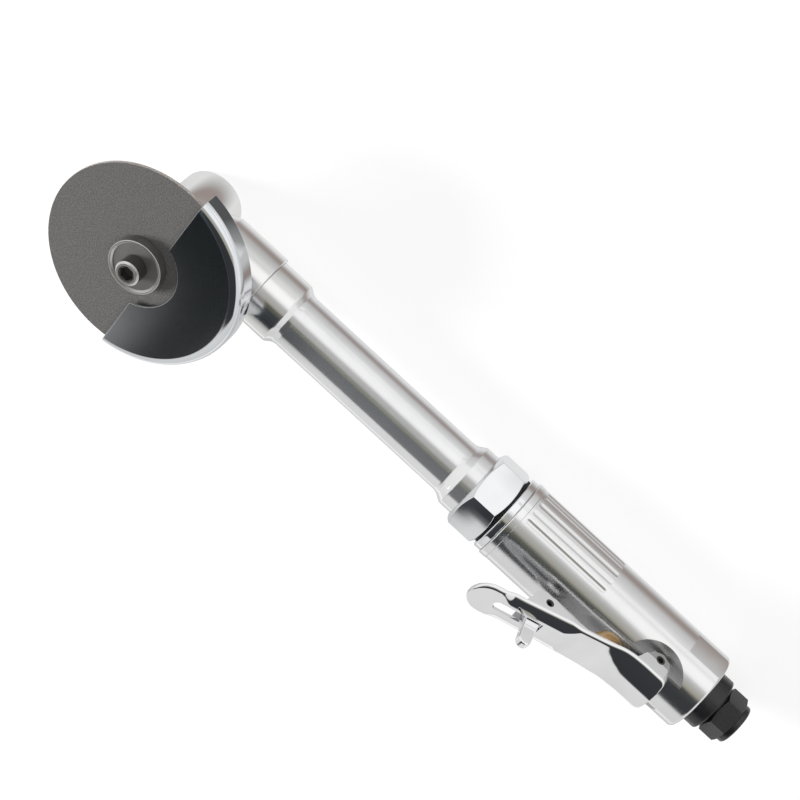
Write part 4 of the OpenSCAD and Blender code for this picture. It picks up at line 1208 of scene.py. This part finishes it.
def build_card():
    """Dark card beside the guard, which only the reflections show."""
    mesh = bpy.data.meshes.new("card")
    mesh.from_pydata([(x * MM, y * MM, CARD_HEIGHT * MM) for x, y in CARD_CORNERS], [], [(0, 1, 2, 3)])
    material, tree = bare_surface("card")
    at = axes(tree, coordinates(tree, "Object"))
    place = scaled(tree, at["X"], CARD_START * MM, CARD_END * MM)
    fade = ramp(tree, place, *CARD_FADE)
    tree.links.new(emission(tree, fade), tree.nodes["Material Output"].inputs["Surface"])
    mesh.materials.append(material)
    card = bpy.data.objects.new("card", mesh)
    bpy.context.collection.objects.link(card)
    card.visible_camera = False
    card.visible_diffuse = False
    card.visible_shadow = False
    card.visible_transmission = False


# World

SOFT_LIGHT = 0.25
DARK = (0.036, 0.038, 0.043)
DEEP = (0.012, 0.0145, 0.0155)

# Tones of the room, as (angle, tone) stops: degrees from straight up towards -Y

PANEL = ((20, (0.042, 0.044, 0.048)), (26, (0.42, 0.40, 0.32)), (44, 0.46), (50, 0.78), (58, 1.05),
         (80, 1.05), (86, 0.80))
ROOM = ((-100, 0.70), (-45, 0.78), (-41, 0.75), (-39, DARK), *PANEL)
OVER_TUBE = ((-100, 0.66), (-47, 0.72), (-44.5, 0.66), (-41.5, (0.050, 0.053, 0.062)),
             (8, (0.056, 0.072, 0.080)), (14, (0.26, 0.26, 0.13)), (20, 0.18), (28, 0.42), (44, 0.50),
             (50, 0.88), (58, 1.10), (86, 1.06))
OVER_GUARD = ((-100, 0.90), (-62, 0.60), (-50, 0.26), (-46, DEEP), *PANEL)
OVER_EDGE = ((-100, 0.90), (-60, 0.60), (-48, 0.30), (-43.9, 0.34), (-42.4, DEEP), *PANEL)
CEILING = ((-90, 0.72), (0, 0.85), (90, 1.0))

# Where the room changes, as the lean along X at which a zone begins and is complete

ZONES = ((-0.056, -0.048, OVER_TUBE), (0.045, 0.060, OVER_GUARD), (0.088, 0.104, OVER_EDGE),
         (0.30, 0.45, CEILING), (-0.76, -0.82, CEILING))


def sky_tone(tree, place, stops):
    """Tone of the room for the reflections, from (angle, tone) stops in degrees."""
    return ramp(tree, place, *[((angle + 180) / 360, tone) for angle, tone in stops])


def build_world():
    """White room with a dark ceiling panel, which only the reflections show."""
    world = bpy.data.worlds.new("studio")
    bpy.context.scene.world = world
    world.use_nodes = True
    tree = world.node_tree
    tree.nodes.clear()
    way = axes(tree, coordinates(tree, "Generated"))
    minus = node(tree, "ShaderNodeMath", operation="MULTIPLY")
    minus.inputs[1].default_value = -1
    tree.links.new(way["Y"], minus.inputs[0])
    angle = node(tree, "ShaderNodeMath", operation="ARCTAN2")
    tree.links.new(minus.outputs["Value"], angle.inputs[0])
    tree.links.new(way["Z"], angle.inputs[1])
    place = scaled(tree, angle.outputs["Value"], -math.pi, math.pi)
    tone = sky_tone(tree, place, ROOM)
    for start, end, stops in ZONES:
        tone = blend(tree, scaled(tree, way["X"], start, end), tone, sky_tone(tree, place, stops))
    mirrored = node(tree, "ShaderNodeBackground", Strength=1)
    tree.links.new(tone, mirrored.inputs["Color"])
    soft = node(tree, "ShaderNodeBackground", Color=(1, 1, 1, 1), Strength=SOFT_LIGHT)
    white = node(tree, "ShaderNodeBackground", Color=(1, 1, 1, 1), Strength=1)
    lit = choose(tree, either(tree, "Is Glossy Ray"), soft.outputs["Background"],
                 mirrored.outputs["Background"])
    seen = choose(tree, either(tree, "Is Camera Ray", "Is Transmission Ray"), lit,
                  white.outputs["Background"])
    out = tree.nodes.new("ShaderNodeOutputWorld")
    tree.links.new(seen, out.inputs["Surface"])


# Lamps and camera

def build_lamp(name, place, target, size, power):
    """Soft square lamp that lights the tool and isn't mirrored in it."""
    light = bpy.data.lights.new(name, "AREA")
    light.size = size
    light.energy = power
    lamp = bpy.data.objects.new(name, light)
    lamp.location = place
    lamp.rotation_euler = (Vector(target) - Vector(place)).to_track_quat("-Z", "Y").to_euler()
    lamp.visible_glossy = False
    bpy.context.collection.objects.link(lamp)


def build_camera():
    """Camera that sees the tool as the photo does."""
    aim = Vector((168.4, -3.4, -2.9)) * MM
    distance = 0.9
    elevation = math.radians(49.42)
    roll = math.radians(222.6)
    back = Vector((0, -math.cos(elevation), math.sin(elevation)))
    level_up = Vector((0, math.sin(elevation), math.cos(elevation)))
    right = Vector((1, 0, 0)) * math.cos(roll) + level_up * math.sin(roll)
    up = back.cross(right)
    data = bpy.data.cameras.new("camera")
    data.lens = 112.53
    data.sensor_width = 36
    data.clip_start = 0.01
    camera = bpy.data.objects.new("camera", data)
    turn = Matrix((right, up, back)).transposed().to_4x4()
    camera.matrix_world = Matrix.Translation(aim + back * distance) @ turn
    bpy.context.collection.objects.link(camera)
    bpy.context.scene.camera = camera


dress_nodes()
build_housing()
build_inlet()
build_sleeve()
build_ring("lock_ring", 0.6, CHROME, "chrome")
build_ring("nut_seal", 0.3, RUBBER, "rubber")
build_nut()
build_tube()
build_wheel()
build_screw()
build_guard()
build_bushing()
build_spring()
build_lever()
build_tab()
build_floor()
build_card()
build_world()
build_lamp("key", place=(1.0, 0.60, 0.60), target=(0.2, 0, 0), size=0.4, power=16)
build_lamp("fill", place=(-0.1, -0.6, 1.1), target=(0.16, 0, 0), size=1.0, power=4)
build_camera()
bpy.context.scene.view_settings.view_transform = "Standard"
